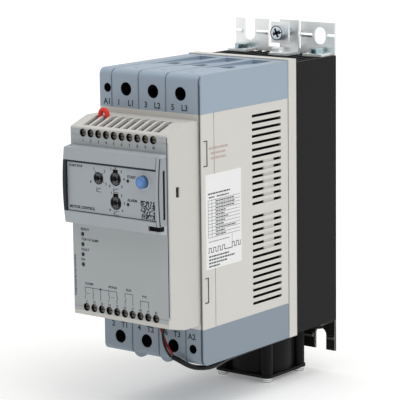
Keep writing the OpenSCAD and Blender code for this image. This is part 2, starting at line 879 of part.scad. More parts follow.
// Lug on the panel with the hinge pin that the settings cover turns on
module hinge_lug(side) {
    inner = band_mid + side * (roof_half - lug_gap - lug_h);
    outer = inner + side * lug_h;
    tip = outer + side * (lug_gap + pin_len);
    bore_z(hinge_x, hinge_y, min(inner, outer), max(inner, outer), 2 * lug_r);
    box([hinge_x - lug_r / 2, hinge_y, min(inner, outer)],
        [hinge_x + lug_r, module_front + eps, max(inner, outer)]);
    bore_z(hinge_x, hinge_y, min(inner, tip), max(inner, tip), pin_d);
}

module control_board() {
    color(board_green) placed()
        box([-module_inner, control_board_y, module_z],
            [module_inner, control_board_y + board_t, module_top]);
}

// Control terminal block that fills the module's end behind a screw row
module terminal_block(row_z, low, high, wire_from, wire_to) {
    block_half = terminal_count * terminal_pitch / 2;
    difference() {
        intersection() {
            across(-block_half, block_half) module_side(module_wall + seat_gap);
            box([-block_half, plate_back, low], [block_half, control_board_y, high]);
        }
        terminal_spots() {
            bore_y(0, row_z, plate_back - eps, plate_back + screw_len + lap, screw_d + 2 * screw_gap);
            bore_z(0, wire_y, wire_from, wire_to, wire_hole_d);
        }
    }
}

module upper_terminals() {
    color(dark_grey) placed()
        terminal_block(upper_row_z, module_top - terminal_h, module_roof,
                       module_top - wire_deep, module_roof);
}

module lower_terminals() {
    color(dark_grey) placed()
        terminal_block(lower_row_z, module_floor, module_z + terminal_h, module_floor, module_z + wire_deep);
}

module terminal_screws(z) {
    terminal_spots() translate([0, module_front + screw_sink, z])
        front_screw(screw_d, screw_head_h, screw_d - screw_neck, screw_len - screw_sink, drive_w);
}

module upper_terminal_screws() {
    color(zinc) placed() terminal_screws(upper_row_z);
}

module lower_terminal_screws() {
    color(zinc) placed() terminal_screws(lower_row_z);
}

module trimmers() {
    color(dark_grey) placed() for (spot = dial_spots)
        box([spot.x - trimmer_w / 2, trimmer_front, spot.y - trimmer_w / 2],
            [spot.x + trimmer_w / 2, control_board_y, spot.y + trimmer_w / 2]);
}

module reset_switch() {
    color(dark_grey) placed()
        box([button_at.x - switch_w / 2, switch_front, button_at.y - switch_w / 2],
            [button_at.x + switch_w / 2, control_board_y, button_at.y + switch_w / 2]);
}

module mode_switches() {
    color(dark_grey) placed()
        box([mode_at.x - mode_w / 2, module_front, mode_at.y - mode_h / 2],
            [mode_at.x + mode_w / 2, control_board_y, mode_at.y + mode_h / 2]);
}

module status_lights() {
    color("#e6e8e2") placed() for (k = [0 : light_rows - 1])
        bore_y(light_x, light_z - k * light_pitch, module_front - light_proud, control_board_y, light_d);
}

module jumper_link() {
    arch_z = module_roof + jumper_rise;
    leg = arch_z - module_top + wire_deep - seat_gap;
    color("#c8322d") placed() translate([terminal_x0 + terminal_pitch / 2, wire_y, arch_z]) {
        rotate([90, 0, 0]) rotate_extrude(angle = 180)
            translate([terminal_pitch / 2, 0]) circle(d = jumper_d);
        for (side = [-1, 1]) translate([side * terminal_pitch / 2, 0, 0]) {
            translate([0, 0, -jumper_collar]) cylinder(d = jumper_d, h = jumper_collar);
            translate([0, 0, -leg]) cylinder(d = jumper_core_d, h = leg);
        }
    }
}

// Side view of the settings cover's outside: drafted ends and a crowned front
module band_side() {
    intersection() {
        translate([band_front + crown_r, band_mid]) circle(r = crown_r, $fn = 360);
        polygon([[band_back, band_mid - band_h / 2], [band_front - lap, band_mid - edge_half],
                 [band_front - lap, band_mid + edge_half], [band_back, band_mid + band_h / 2]]);
    }
}

module settings_cover() {
    color(mid_grey) placed() difference() {
        intersection() {
            across(-module_half, module_half) band_side();
            union() {
                box([hinge_x, band_front - lap, band_z], [module_half, band_back, band_z + band_h]);
                box([-module_half, band_front - lap, band_z], [module_half, hinge_y, band_z + band_h]);
                translate([hinge_x, hinge_y, band_z]) cylinder(r = hinge_r, h = band_h);
            }
        }
        box([-module_half + cover_wall, field_y + cover_wall, band_mid - roof_half],
            [module_half - cover_wall, band_back + eps, band_mid + roof_half]);
        box([-module_half - eps, band_front - lap, band_mid - field_h / 2],
            [field_right, field_y, band_mid + field_h / 2]);
        box([field_right - eps, band_front - lap, band_z - eps],
            [field_right + end_groove_w, edge_front + end_groove_d, band_z + band_h + eps]);
        for (k = [0 : len(dial_spots) - 1])
            bore_y(dial_spots[k].x, dial_spots[k].y, field_y - lap, field_y + cover_wall + lap,
                   dial_sizes[k] + 2 * dial_gap);
        for (spot = [dial_upper_at, dial_lower_at])
            translate([spot.x - key_w / 2, field_y - lap, spot.y])
                cube([key_w, cover_wall + 2 * lap, dial_d / 2 + key_h]);
        bore_y(button_at.x, button_at.y, field_y - lap, field_y + cover_wall + lap, button_d + dial_gap);
        bore_z(hinge_x, hinge_y, band_z - eps, band_z + band_h + eps, pin_d + 2 * pin_gap);
        for (side = [-1, 1]) hinge_room(side);
        translate([module_half - cover_wall - eps, band_back - side_slot_in - side_slot_w,
                   band_mid - side_slot_h / 2])
            cube([cover_wall + 2 * eps, side_slot_w, side_slot_h]);
        box([module_half - notch_w, band_front - lap, band_z + notch_up],
            [module_half + eps, edge_front + notch_deep, band_z + notch_up + notch_h]);
    }
}

// Room in the settings cover for a hinge lug
module hinge_room(side) {
    inner = band_mid + side * (roof_half - 2 * lug_gap - lug_h);
    outer = band_mid + side * roof_half;
    bore_z(hinge_x, hinge_y, min(inner, outer), max(inner, outer), 2 * (hinge_r + lug_gap));
}

// Setting dial: slotted head in the field, shaft down to its trimmer
module dial(spot, d) {
    head_y = field_y - dial_proud;
    placed() difference() {
        union() {
            bore_y(spot.x, spot.y, head_y, head_y + dial_head, d);
            bore_y(spot.x, spot.y, head_y + dial_head - eps, trimmer_front, shaft_d);
        }
        translate([spot.x - d / 2, head_y - eps, spot.y - slot_deep / 2])
            cube([d, slot_deep, slot_deep]);
    }
}

module dial_left() {
    color(dark_grey) dial(dial_left_at, dial_left_d);
}

module dial_upper() {
    color(dark_grey) dial(dial_upper_at, dial_d);
}

module dial_lower() {
    color(dark_grey) dial(dial_lower_at, dial_d);
}

module reset_button() {
    dome_r = (button_d * button_d / 4 + button_out * button_out) / (2 * button_out);
    flange_y = field_y + cover_wall + seat_gap / 2;
    color("#2f63b4") placed() translate([button_at.x, 0, button_at.y]) rotate([-90, 0, 0]) {
        intersection() {
            translate([0, 0, field_y - button_out + dome_r]) sphere(r = dome_r);
            translate([0, 0, field_y - button_out]) cylinder(d = button_d, h = button_out);
        }
        translate([0, 0, field_y - eps]) cylinder(d = button_d, h = flange_y - field_y + eps);
        translate([0, 0, flange_y - eps]) cylinder(d = button_d + 2 * flange_over, h = flange_t);
        translate([0, 0, flange_y])
            cylinder(d = stem_d, h = switch_front - button_travel - stem_gap - flange_y);
    }
}

// Fan
module fan_outline() {
    offset_w = fan_w / 2 - fan_corner_r;
    square([fan_w, 2 * offset_w], center = true);
    square([2 * offset_w, fan_w], center = true);
    for (x = [-1, 1], y = [-1, 1]) translate([x * offset_w, y * offset_w]) circle(r = fan_corner_r);
}

module at_fan_bolts() {
    for (x = [-1, 1], y = [-1, 1])
        translate([x * fan_bolts / 2, fan_y + y * fan_bolts / 2, 0]) children();
}

// Square flanges at both ends, round barrel, and a post round each screw
module fan_frame() {
    color(black_anodised) placed() {
        difference() {
            union() {
                translate([0, fan_y, sink_z - flange_h]) linear_extrude(flange_h) fan_outline();
                translate([0, fan_y, fan_z]) linear_extrude(foot_flange_h) fan_outline();
                translate([0, fan_y, fan_z]) cylinder(r = barrel_r, h = fan_t - flange_h / 2);
                at_fan_bolts() translate([0, 0, fan_z]) cylinder(d = post_d, h = fan_t - flange_h / 2);
                for (a = [45 : 90 : 315]) translate([0, fan_y, fan_z]) rotate(a)
                    translate([bore_r, -post_web / 2, 0])
                        cube([fan_bolts / sqrt(2) - bore_r, post_web, fan_t - flange_h / 2]);
            }
            translate([0, fan_y, fan_z - eps]) cylinder(r = bore_r, h = fan_t + 2 * eps);
            at_fan_bolts() translate([0, 0, fan_z - eps]) cylinder(d = fan_hole_d, h = fan_t + 2 * eps);
        }
        translate([0, fan_y, spider_z]) {
            cylinder(d = motor_d, h = spider_t);
            for (a = [30 : 120 : 270]) rotate(a) translate([motor_d / 2 - lap, -strut_w / 2, 0])
                cube([bore_r - motor_d / 2 + lap + strut_in, strut_w, spider_t]);
            translate([0, 0, -rotor_t / 2]) cylinder(d = axle_d, h = rotor_t / 2 + eps);
        }
    }
}

module fan_rotor() {
    low = spider_z - rotor_gap - rotor_t;
    blade_r = bore_r - blade_gap;
    color(black_anodised) placed() translate([0, fan_y, low]) difference() {
        union() {
            cylinder(d = hub_d, h = rotor_t);
            intersection() {
                cylinder(r = blade_r, h = rotor_t);
                for (k = [0 : blade_count - 1]) rotate(k * 360 / blade_count)
                    translate([0, 0, rotor_t / 2]) rotate([blade_tilt, 0, 0])
                        translate([hub_d / 2 - lap, -blade_t / 2, -rotor_t])
                            cube([blade_r, blade_t, 2 * rotor_t]);
            }
        }
        translate([0, 0, hub_floor]) cylinder(d = axle_d + 2 * pin_gap, h = rotor_t);
    }
}

module fan_screws() {
    color(zinc) placed() at_fan_bolts() {
        translate([0, 0, fan_z - fan_head_h]) cylinder(d = fan_head_d, h = fan_head_h);
        translate([0, 0, fan_z - eps]) cylinder(d = fan_screw_d, h = fan_t + screw_reach - lap);
    }
}

// Sweeps a round cord of small section along a list of points
function unit(v) = v / norm(v);
function along(p, i) = unit(p[min(i + 1, len(p) - 1)] - p[max(i - 1, 0)]);
function ring(p, i, r) =
    let (t = along(p, i), s = unit(cross(t, abs(t.x) < 0.9 ? [1, 0, 0] : [0, 1, 0])), u = cross(t, s))
    [for (k = [0 : cord_sides - 1]) let (a = k * 360 / cord_sides) p[i] + r * (cos(a) * s + sin(a) * u)];

module cord(points, d) {
    rings = len(points);
    n = cord_sides;
    vertices = [for (i = [0 : rings - 1]) each ring(points, i, d / 2)];
    sides = [for (i = [0 : rings - 2], k = [0 : n - 1])
             [i * n + k, i * n + (k + 1) % n, (i + 1) * n + (k + 1) % n, (i + 1) * n + k]];
    first = [for (k = [n - 1 : -1 : 0]) k];
    last = [for (k = [0 : n - 1]) (rings - 1) * n + k];
    polyhedron(vertices, concat([first], sides, [last]), convexity = 6);
}

module fan_wire_red() {
    color("#b3261e") placed() cord(red_route, wire_d);
}

module fan_wire_black() {
    color("#1c1c1e") placed() cord(black_route, wire_d);
}

module fan_sleeve() {
    color("#1c1c1e") placed() cord(sleeve_route, sleeve_d);
}

// Mounting bracket, drawn over the heat sink's top end: a rib on each ear, a flat pad round the fixing
module bracket() {
    rib_z = sink_top + fixing_up;
    top_z = sink_top + bracket_h;
    half = (fixing_len - fixing_w) / 2;
    difference() {
        union() {
            box([-bracket_half, bracket_y, sink_top], [bracket_half, panel_y, top_z]);
            difference() {
                across(-bracket_half, bracket_half)
                    polygon([[bracket_y + eps, rib_z - rib_h / 2], [bracket_y - rib_out, rib_z],
                             [bracket_y + eps, rib_z + rib_h / 2]]);
                for (side = [-1, 1])
                    fixing_slot(side * fixing_x, rib_z - half, rib_z + half, fixing_w + 2 * pad_rim);
            }
            for (side = [-1, 1])
                box([side * tab_x - tab_w / 2, panel_y - tab_d, sink_top],
                    [side * tab_x + tab_w / 2, panel_y, sink_top + sheet_t]);
        }
        box([-ear_inner, bracket_y - rib_out - eps, sink_top + strip_h],
            [ear_inner, panel_y + eps, top_z + eps]);
        fixing_slot(fixing_x, rib_z - half, rib_z + half, fixing_w);
        fixing_slot(-fixing_x, rib_z - half, top_z + fixing_w, fixing_w);
        for (side = [-1, 1])
            bore_z(side * tab_x, tab_screw_y, sink_top - eps, sink_top + sheet_t + eps,
                   bracket_screw_d + seat_gap);
    }
}

module fixing_slot(x, from, to, w) {
    front = bracket_y - rib_out - eps;
    for (z = [from, to]) bore_y(x, z, front, panel_y + eps, w);
    box([x - w / 2, front, from], [x + w / 2, panel_y + eps, to]);
}

module turned_over() {
    translate([0, 0, 2 * sink_mid]) rotate([0, 180, 0]) children();
}

module top_bracket() {
    color(zinc) placed() bracket();
}

module bottom_bracket() {
    color(zinc) placed() turned_over() bracket();
}

module tab_screws() {
    for (side = [-1, 1]) translate([side * tab_x, tab_screw_y, sink_top + sheet_t]) {
        cylinder(d = pan_head_d, h = pan_head_h);
        translate([0, 0, -tab_screw_len]) cylinder(d = bracket_screw_d, h = tab_screw_len + eps);
    }
}

module bracket_screws() {
    color(zinc) placed() {
        tab_screws();
        turned_over() tab_screws();
    }
}

// Earth terminal on top of the heat sink
module earth_bracket() {
    color(zinc) placed() difference() {
        union() {
            box([earth_x - earth_w / 2, upright_y - foot_d, sink_top],
                [earth_x + earth_w / 2, upright_y + sheet_t, sink_top + sheet_t]);
            box([earth_x - earth_w / 2, upright_y, sink_top],
                [earth_x + earth_w / 2, upright_y + sheet_t, earth_top]);
        }
        bore_y(earth_x, earth_screw_z, upright_y - eps, upright_y + sheet_t + eps, earth_screw_d + seat_gap);
        bore_z(foot_screw_x, upright_y - foot_d / 2, sink_top - eps, sink_top + sheet_t + eps,
               bracket_screw_d + seat_gap);
    }
}

module earth_plate() {
    color(zinc) placed() difference() {
        box([earth_x - earth_plate_w / 2, clamp_plate_y, earth_screw_z - earth_plate_w / 2],
            [earth_x + earth_plate_w / 2, clamp_plate_y + earth_plate_t, earth_screw_z + earth_plate_w / 2]);
        bore_y(earth_x, earth_screw_z, clamp_plate_y - eps, clamp_plate_y + earth_plate_t + eps,
               earth_screw_d + seat_gap);
    }
}

module earth_screw() {
    color(zinc) placed() translate([earth_x, clamp_plate_y - earth_head_h, earth_screw_z])
        front_screw(earth_head_d, earth_head_h, earth_screw_d,
                    earth_plate_t + earth_space + sheet_t + nut_h, earth_drive_w);
}

module earth_nut() {
    color(zinc) placed() difference() {
        translate([earth_x, upright_y + sheet_t, earth_screw_z]) rotate([-90, 0, 0])
            cylinder(d = nut_af / cos(30), h = nut_h, $fn = 6);
        bore_y(earth_x, earth_screw_z, upright_y, panel_y, earth_screw_d + seat_gap);
    }
}

module earth_foot_screw() {
    color(zinc) placed() translate([foot_screw_x, upright_y - foot_d / 2, sink_top + sheet_t]) {
        cylinder(d = foot_head_d, h = foot_head_h);
        translate([0, 0, -tab_screw_len]) cylinder(d = bracket_screw_d, h = tab_screw_len + eps);
    }
}

heat_sink();
base_frame();
rear_housing();
front_housing();
line_cover();
load_cover();
line_clamps();
load_clamps();
line_clamp_screws();
load_clamp_screws();
supply_clamps();
supply_screws();
line_bars();
load_bars();
thyristor_blocks();
power_board();
bypass_relays();
board_link();
module_housing();
module_panel();
control_board();
upper_terminals();
lower_terminals();
upper_terminal_screws();
lower_terminal_screws();
trimmers();
reset_switch();
mode_switches();
status_lights();
jumper_link();
settings_cover();
dial_left();
dial_upper();
dial_lower();
reset_button();
fan_frame();
fan_rotor();
fan_screws();
fan_wire_red();
fan_wire_black();
fan_sleeve();
top_bracket();
bottom_bracket();
bracket_screws();
earth_bracket();
earth_plate();
earth_screw();
earth_nut();
earth_foot_screw();
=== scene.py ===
"""Looks of a panel-mount motor soft starter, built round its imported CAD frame."""

import random
from math import asin, atan2, cos, degrees, hypot, pi, radians, sin

import bmesh
import bpy
from bpy.props import FloatProperty, FloatVectorProperty, PointerProperty
from mathutils import Matrix, Vector


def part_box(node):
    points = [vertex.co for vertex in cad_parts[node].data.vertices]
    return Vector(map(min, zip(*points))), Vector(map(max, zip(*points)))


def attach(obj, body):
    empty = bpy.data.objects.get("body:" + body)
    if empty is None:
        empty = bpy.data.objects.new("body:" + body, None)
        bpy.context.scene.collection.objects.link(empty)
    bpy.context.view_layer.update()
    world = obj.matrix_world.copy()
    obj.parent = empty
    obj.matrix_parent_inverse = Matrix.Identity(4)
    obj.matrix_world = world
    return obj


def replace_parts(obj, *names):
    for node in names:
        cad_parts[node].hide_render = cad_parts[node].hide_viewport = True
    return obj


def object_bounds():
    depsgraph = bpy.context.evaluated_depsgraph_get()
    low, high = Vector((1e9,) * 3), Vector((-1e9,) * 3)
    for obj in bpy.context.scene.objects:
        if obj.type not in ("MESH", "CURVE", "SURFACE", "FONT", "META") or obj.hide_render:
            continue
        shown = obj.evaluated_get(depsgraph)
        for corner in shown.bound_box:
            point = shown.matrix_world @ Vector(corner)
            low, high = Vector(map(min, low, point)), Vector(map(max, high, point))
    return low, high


bl_info = {
    "name": "Motor soft starter",
    "version": (1, 0, 0),
    "blender": (4, 5, 0),
    "location": "3D View > Sidebar > Starter",
    "description": "Dresses the packed soft starter with finishes, print, its fan lead and a stage",
    "category": "Object",
}

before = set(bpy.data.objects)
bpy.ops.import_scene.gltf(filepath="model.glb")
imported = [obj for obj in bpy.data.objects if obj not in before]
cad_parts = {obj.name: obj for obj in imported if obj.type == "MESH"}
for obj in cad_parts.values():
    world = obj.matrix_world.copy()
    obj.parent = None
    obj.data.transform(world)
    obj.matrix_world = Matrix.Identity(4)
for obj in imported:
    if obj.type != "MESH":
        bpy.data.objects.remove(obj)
CAD_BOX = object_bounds()
MM = 0.001
HOUSING = "starter"
COVER = "settings_cover"

# Body frame of the CAD source: X centred, Y back from the housing's front, Z up from its bottom
ORIGIN = Vector((0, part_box("front_housing")[0].y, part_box("base_frame")[0].z))
SIDE_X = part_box("front_housing")[1].x / MM
PANEL_Y = (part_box("module_housing")[0].y - ORIGIN.y) / MM
CROWN_Y = (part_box("settings_cover")[0].y - ORIGIN.y) / MM
FIELD_Y = CROWN_Y + 1.8
MODULE_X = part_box("module_housing")[1].x / MM
MIDDLE_Z = ((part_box("front_housing")[0].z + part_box("front_housing")[1].z) / 2 - ORIGIN.z) / MM

# Places of the CAD source that several pieces share, in millimetres of the body frame
TERMINALS_X = [-26.1 + 5.8 * k for k in range(10)]
UPPER_ROW_Z = 135.7
LOWER_ROW_Z = 32.8
BAND_Z = 105.5
CROWN_RADIUS = 138
DIALS = {"dial_left": (-9.6, 111.5), "dial_upper": (3.1, 112.3), "dial_lower": (3.1, 98.5)}
BUTTON = (23.6, 112.5)
FRAME_Y = 85
VENT_PITCH = 4.0214
VENT_SLOTS = [k for k in range(-14, 15) if k]
VENT_Y = (48.5, 77.5)
TRAY_SLOTS = [k for k in range(-6, 8) if k]
TRAY_Y = (60.2, 70.6)


def at(x, y, z):
    """Point of the body frame, given in millimetres, in the shared frame."""
    return ORIGIN + Vector((x, y, z)) * MM


def box(node):
    """Low and high corner of a CAD node, in millimetres of the body frame."""
    return [(corner - ORIGIN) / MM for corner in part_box(node)]


def linear(code):
    """Linear red, green and blue of an sRGB hex value."""
    parts = [int(code[i:i + 2], 16) / 255 for i in (1, 3, 5)]
    return tuple(c / 12.92 if c <= 0.04045 else ((c + 0.055) / 1.055) ** 2.4 for c in parts)


def colour(name, description, code):
    """Colour property with a hex default."""
    return FloatVectorProperty(name=name, description=description, subtype="COLOR", size=3,
                               min=0, max=1, default=linear(code))


class StarterColours(bpy.types.PropertyGroup):
    """Colours of the starter's finishes."""

    housing: colour("Housing", "Pale warm grey of the housing", "#cfcdc7")
    module: colour("Module", "Warm grey of the control module", "#c7c5c0")
    cover: colour("Line cover", "Blue grey of the upper terminal cover", "#96a5b4")
    # Cover blue grey darkened as painted shade, for the lower cover under the module
    load_cover: colour("Load cover", "Blue grey of the lower terminal cover, darkened as painted shade", "#808d99")
    panel: colour("Front panel", "Cool grey of the module's front", "#a6abad")
    band: colour("Settings cover", "Cool grey of the raised band", "#a4aaaf")
    # Band grey darkened as painted shade, for the band's right end face
    band_end: colour("Band end", "Band grey of the end face, darkened as painted shade", "#91969b")
    dark: colour("Dark plastic", "Terminal blocks and trimmers", "#303236")
    dial: colour("Dials", "Dark grey of the setting dials", "#464847")
    # Near-black painted shade for holes, slots and gaps
    lining: colour("Painted shade in holes", "Near-black painted shade in holes, slots and gaps", "#0b0c0f")
    anodised: colour("Heat sink", "Black anodised aluminium", "#19191b")
    fan: colour("Fan", "Black glass-filled plastic", "#0d0d0e")
    zinc: colour("Zinc", "Zinc-plated steel", "#eceeee")
    blue_zinc: colour("Blue zinc", "Blue passivated zinc of the bracket screws", "#9cb2b9")
    # Zinc darkened as painted shade and painted dark reflection, for the lower bracket
    shaded_zinc: colour("Lower bracket", "Zinc of the lower bracket, darkened as painted shade", "#242422")
    chrome: colour("Earth screw", "Bright steel of the earth screw", "#c3ccd3")
    steel: colour("Terminal screws", "Steel heads of the control terminals", "#6d655b")
    copper: colour("Copper", "Bars of the power circuit", "#b87a4b")
    board: colour("Boards", "Solder mask of the boards", "#2f6b46")
    relay: colour("Relays", "Relay cases", "#c9c8c2")
    button: colour("Reset button", "Blue push button", "#4679b6")
    jumper: colour("Jumper", "Red insulated link", "#e23c34")
    wire_red: colour("Red wire", "Insulation of the fan lead's red wire", "#8d1b22")
    wire_black: colour("Black wire", "Insulation of the fan lead's black wire and sleeve", "#111214")
    ink: colour("Ink", "Print on covers and panel", "#2f343b")
    film: colour("Label film", "White film of the side label", "#e6e6e6")
    label_ink: colour("Label ink", "Grey print of the side label", "#55575a")
    brown_ink: colour("Brown ink", "Faint brown print over the label", "#b9a79e")
    window: colour("Windows", "Smoked windows and the dark end of the band", "#141a24")
    pale_ink: colour("Pale ink", "Ring printed round the reset button", "#c3c9ce")
    # Pale painted highlight along the heat sink's edges
    worn: colour("Painted edge highlight", "Pale worn edges of the heat sink", "#6e6c66")
    zinc_edge: colour("Zinc edge shade", "Painted shade on the edges of zinc-plated sheet", "#7f8589")
    # Painted highlight along the lower bracket's edges
    shaded_edge: colour("Lower bracket's edges", "Painted highlight on the lower bracket's edges", "#d8d6cf")
    floor: colour("Floor", "Pale floor of the stage", "#f6f6f5")


def measure(name, description, millimetres):
    """Length property with a default in millimetres."""
    return FloatProperty(name=name, description=description, default=millimetres * MM, unit="LENGTH")


class StarterSizes(bpy.types.PropertyGroup):
    """Sizes of what the scene adds to the CAD."""

    ink: measure("Ink", "Thickness of print", 0.05)
    film: measure("Film", "Thickness of the side label", 0.12)
    mark: measure("Marks", "Cap height of the terminal marks", 3.5)
    wire: measure("Wire", "Diameter of a fan wire", 1.5)
    sleeve: measure("Sleeve", "Diameter of the lead's sleeve", 3)
    lead: measure("Lead", "Length of the sleeved lead", 120)
    lens: FloatProperty(name="Lens", description="Focal length of the camera", default=187.77, unit="CAMERA")


def colours():
    """Colour properties of the scene."""
    return bpy.context.scene.starter_colours


def sizes():
    """Size properties of the scene."""
    return bpy.context.scene.starter_sizes


# Materials

# Colour sockets of a Mix node: its two inputs and its output
MIX_A = 6
MIX_B = 7
MIX_OUT = 2


def add(tree, kind, values=None, links=None, **settings):
    """Adds a node with its settings, socket values and incoming links."""
    node = tree.nodes.new(kind)
    for name, value in settings.items():
        setattr(node, name, value)
    for name, value in (values or {}).items():
        node.inputs[name].default_value = value
    for name, source in (links or {}).items():
        tree.links.new(source, node.inputs[name])
    return node


def per_mm(size):
    """Texture scale for features of that size in millimetres."""
    return 1 / (size * MM)


def tint(shade, factor):
    """Opaque colour of a shade, made darker or lighter by a factor."""
    return tuple(min(1, c * factor) for c in shade[:3]) + (1,)


def start(name, values=None):
    """New material's node tree, its shader with those socket values, and a link from Object coordinates."""
    material = bpy.data.materials.new(name)
    material.use_nodes = True
    tree = material.node_tree
    shader = tree.nodes["Principled BSDF"]
    for socket, value in (values or {}).items():
        shader.inputs[socket].default_value = value
    return tree, shader, {"Vector": add(tree, "ShaderNodeTexCoord").outputs["Object"]}


def finish(tree, shader, mask, dark, light, rough, height, strength, edge, painted_edge_tone=None, painted_edge_share=0.5):
    """Joins a pattern, two tones, a roughness range, relief and soft edges to the shader, with a painted
    tone along the edges: a painted highlight unless another tone is given.
    """
    rounded = add(tree, "ShaderNodeBevel", {"Radius": edge * MM}, samples=4).outputs["Normal"]
    plain = add(tree, "ShaderNodeNewGeometry").outputs["Normal"]
    facing = add(tree, "ShaderNodeVectorMath", links={0: rounded, 1: plain}, operation="DOT_PRODUCT")
    # Near the edges a painted tone goes into the colour: by default a painted highlight, lighter than the
    # surface
    rim = add(tree, "ShaderNodeMapRange", {"From Min": 0.995, "From Max": 0.75, "To Max": painted_edge_share},
              {"Value": facing.outputs["Value"]})
    tone = add(tree, "ShaderNodeMix", {MIX_A: dark, MIX_B: light}, {0: mask}, data_type="RGBA")
    lit = add(tree, "ShaderNodeMix", {MIX_B: painted_edge_tone or tint(light, 1.18)},
              {0: rim.outputs[0], MIX_A: tone.outputs[MIX_OUT]}, data_type="RGBA")
    spread = add(tree, "ShaderNodeMapRange", {"To Min": rough[0], "To Max": rough[1]}, {"Value": mask})
    relief = add(tree, "ShaderNodeBump", {"Strength": strength, "Distance": 0.05 * MM},
                 {"Height": height, "Normal": rounded})
    tree.links.new(lit.outputs[MIX_OUT], shader.inputs["Base Color"])
    tree.links.new(spread.outputs[0], shader.inputs["Roughness"])
    tree.links.new(relief.outputs["Normal"], shader.inputs["Normal"])


# Injection-moulded plastic: a spark-eroded mould leaves a fine satin grain with faint flow clouds,
# and edges are slightly round, with a painted highlight along them. The grain is drawn coarser than life
# so that it shows.
def moulded(name, shade, rough=(0.42, 0.55), strength=0.12, edge=0.35, cloud=26, gloss=0.5):
    tree, shader, place = start(name, {"IOR": 1.53, "Specular IOR Level": gloss})
    flow = add(tree, "ShaderNodeTexNoise", {"Scale": per_mm(cloud), "Detail": 4, "Roughness": 0.62},
               place).outputs["Fac"]
    pits = add(tree, "ShaderNodeTexNoise", {"Scale": per_mm(0.5), "Detail": 2}, place).outputs["Fac"]
    finish(tree, shader, flow, tint(shade, 0.955), tint(shade, 1.035), rough, pits, strength, edge)


# Black anodised extrusion: matt oxide with upright die lines along the profile, and a painted highlight
# along the edges
def anodised(name, shade, worn):
    tree, shader, place = start(name, {"Specular IOR Level": 0.1})
    lines = add(tree, "ShaderNodeMapping", {"Scale": (per_mm(0.7), per_mm(0.7), per_mm(90))}, place)
    die = add(tree, "ShaderNodeTexNoise", {"Scale": 1, "Detail": 3},
              {"Vector": lines.outputs[0]}).outputs["Fac"]
    finish(tree, shader, die, tint(shade, 0.85), tint(shade, 1.15), (0.5, 0.62), die, 0.2, 0.3,
           tint(worn, 1), 0.4)


# Plated sheet, bars and screws: bright metal, blotched by the passivation, with fine rolling marks
def plated(name, shade, rough=(0.22, 0.42), edge=0.25, metal=1, painted_edge_tone=None, painted_edge_share=0.5, relief=0.15,
           tones=(0.88, 1.05)):
    tree, shader, place = start(name, {"Metallic": metal})
    blotch = add(tree, "ShaderNodeTexNoise", {"Scale": per_mm(5), "Detail": 5, "Roughness": 0.65},
                 place).outputs["Fac"]
    rolled = add(tree, "ShaderNodeMapping", {"Scale": (per_mm(9), per_mm(0.25), per_mm(0.25))}, place)
    marks = add(tree, "ShaderNodeTexNoise", {"Scale": 1, "Detail": 2},
                {"Vector": rolled.outputs[0]}).outputs["Fac"]
    finish(tree, shader, blotch, tint(shade, tones[0]), tint(shade, tones[1]), rough, marks, relief, edge,
           painted_edge_tone, painted_edge_share)


# Bracket screws: blue passivated in the upper bracket; below the middle height they take the lower
# bracket's dark tone as painted shade, and their edges carry a painted highlight
def passivated(name, upper, lower, height):
    tree, shader, place = start(name, {"Metallic": 1})
    up = add(tree, "ShaderNodeSeparateXYZ", links={0: place["Vector"]}).outputs["Z"]
    # Screws below this height take the dark tone as painted shade
    mask = add(tree, "ShaderNodeMath", {1: height}, {0: up}, operation="GREATER_THAN").outputs[0]
    blotch = add(tree, "ShaderNodeTexNoise", {"Scale": per_mm(3), "Detail": 4}, place).outputs["Fac"]
    finish(tree, shader, mask, tint(lower, 1), tint(upper, 1), (0.45, 0.16), blotch, 0.2, 0.5)


# Fan screws: bright steel whose thread shows as dark rings of painted shade, drawn coarser than life.
# A wave texture repeats after pi / 10 divided by its scale.
def threaded(name, shade, pitch):
    tree, shader, place = start(name, {"Metallic": 1})
    rings = add(tree, "ShaderNodeTexWave", {"Scale": per_mm(pitch) * pi / 10}, place,
                bands_direction="Z").outputs["Fac"]
    finish(tree, shader, rings, tint(shade, 0.4), tint(shade, 1.05), (0.4, 0.25), rings, 0.3, 0.2)


# Extruded insulation: smooth soft PVC with a faint haze
def insulation(name, shade):
    tree, shader, place = start(name, {"Specular IOR Level": 0.2})
    haze = add(tree, "ShaderNodeTexNoise", {"Scale": per_mm(3), "Detail": 3}, place).outputs["Fac"]
    finish(tree, shader, haze, tint(shade, 0.85), tint(shade, 1.12), (0.32, 0.46), haze, 0.1, 0.1)


# Pad print and label print: matt ink whose density varies a little with the grain under it
def printed(name, shade):
    tree, shader, place = start(name, {"Specular IOR Level": 0.15})
    density = add(tree, "ShaderNodeTexNoise", {"Scale": per_mm(0.8), "Detail": 3}, place).outputs["Fac"]
    finish(tree, shader, density, tint(shade, 0.85), tint(shade, 1.2), (0.5, 0.65), density, 0.05, 0.02)


# Solder mask over copper: glossy green in darker and lighter angular patches, as over tracks
def masked_board(name, shade):
    tree, shader, place = start(name)
    tracks = add(tree, "ShaderNodeTexVoronoi", {"Scale": per_mm(4)}, place,
                 distance="MANHATTAN", feature="F1").outputs["Distance"]
    finish(tree, shader, tracks, tint(shade, 0.7), tint(shade, 1.2), (0.25, 0.4), tracks, 0.2, 0.1)


# Smoked polycarbonate: dark and glossy, for light windows and inlays
def smoked(name, shade):
    tree, shader, place = start(name, {"IOR": 1.585, "Specular IOR Level": 0.25})
    haze = add(tree, "ShaderNodeTexNoise", {"Scale": per_mm(6), "Detail": 2}, place).outputs["Fac"]
    finish(tree, shader, haze, tint(shade, 0.8), tint(shade, 1.2), (0.12, 0.2), haze, 0.02, 0.2)


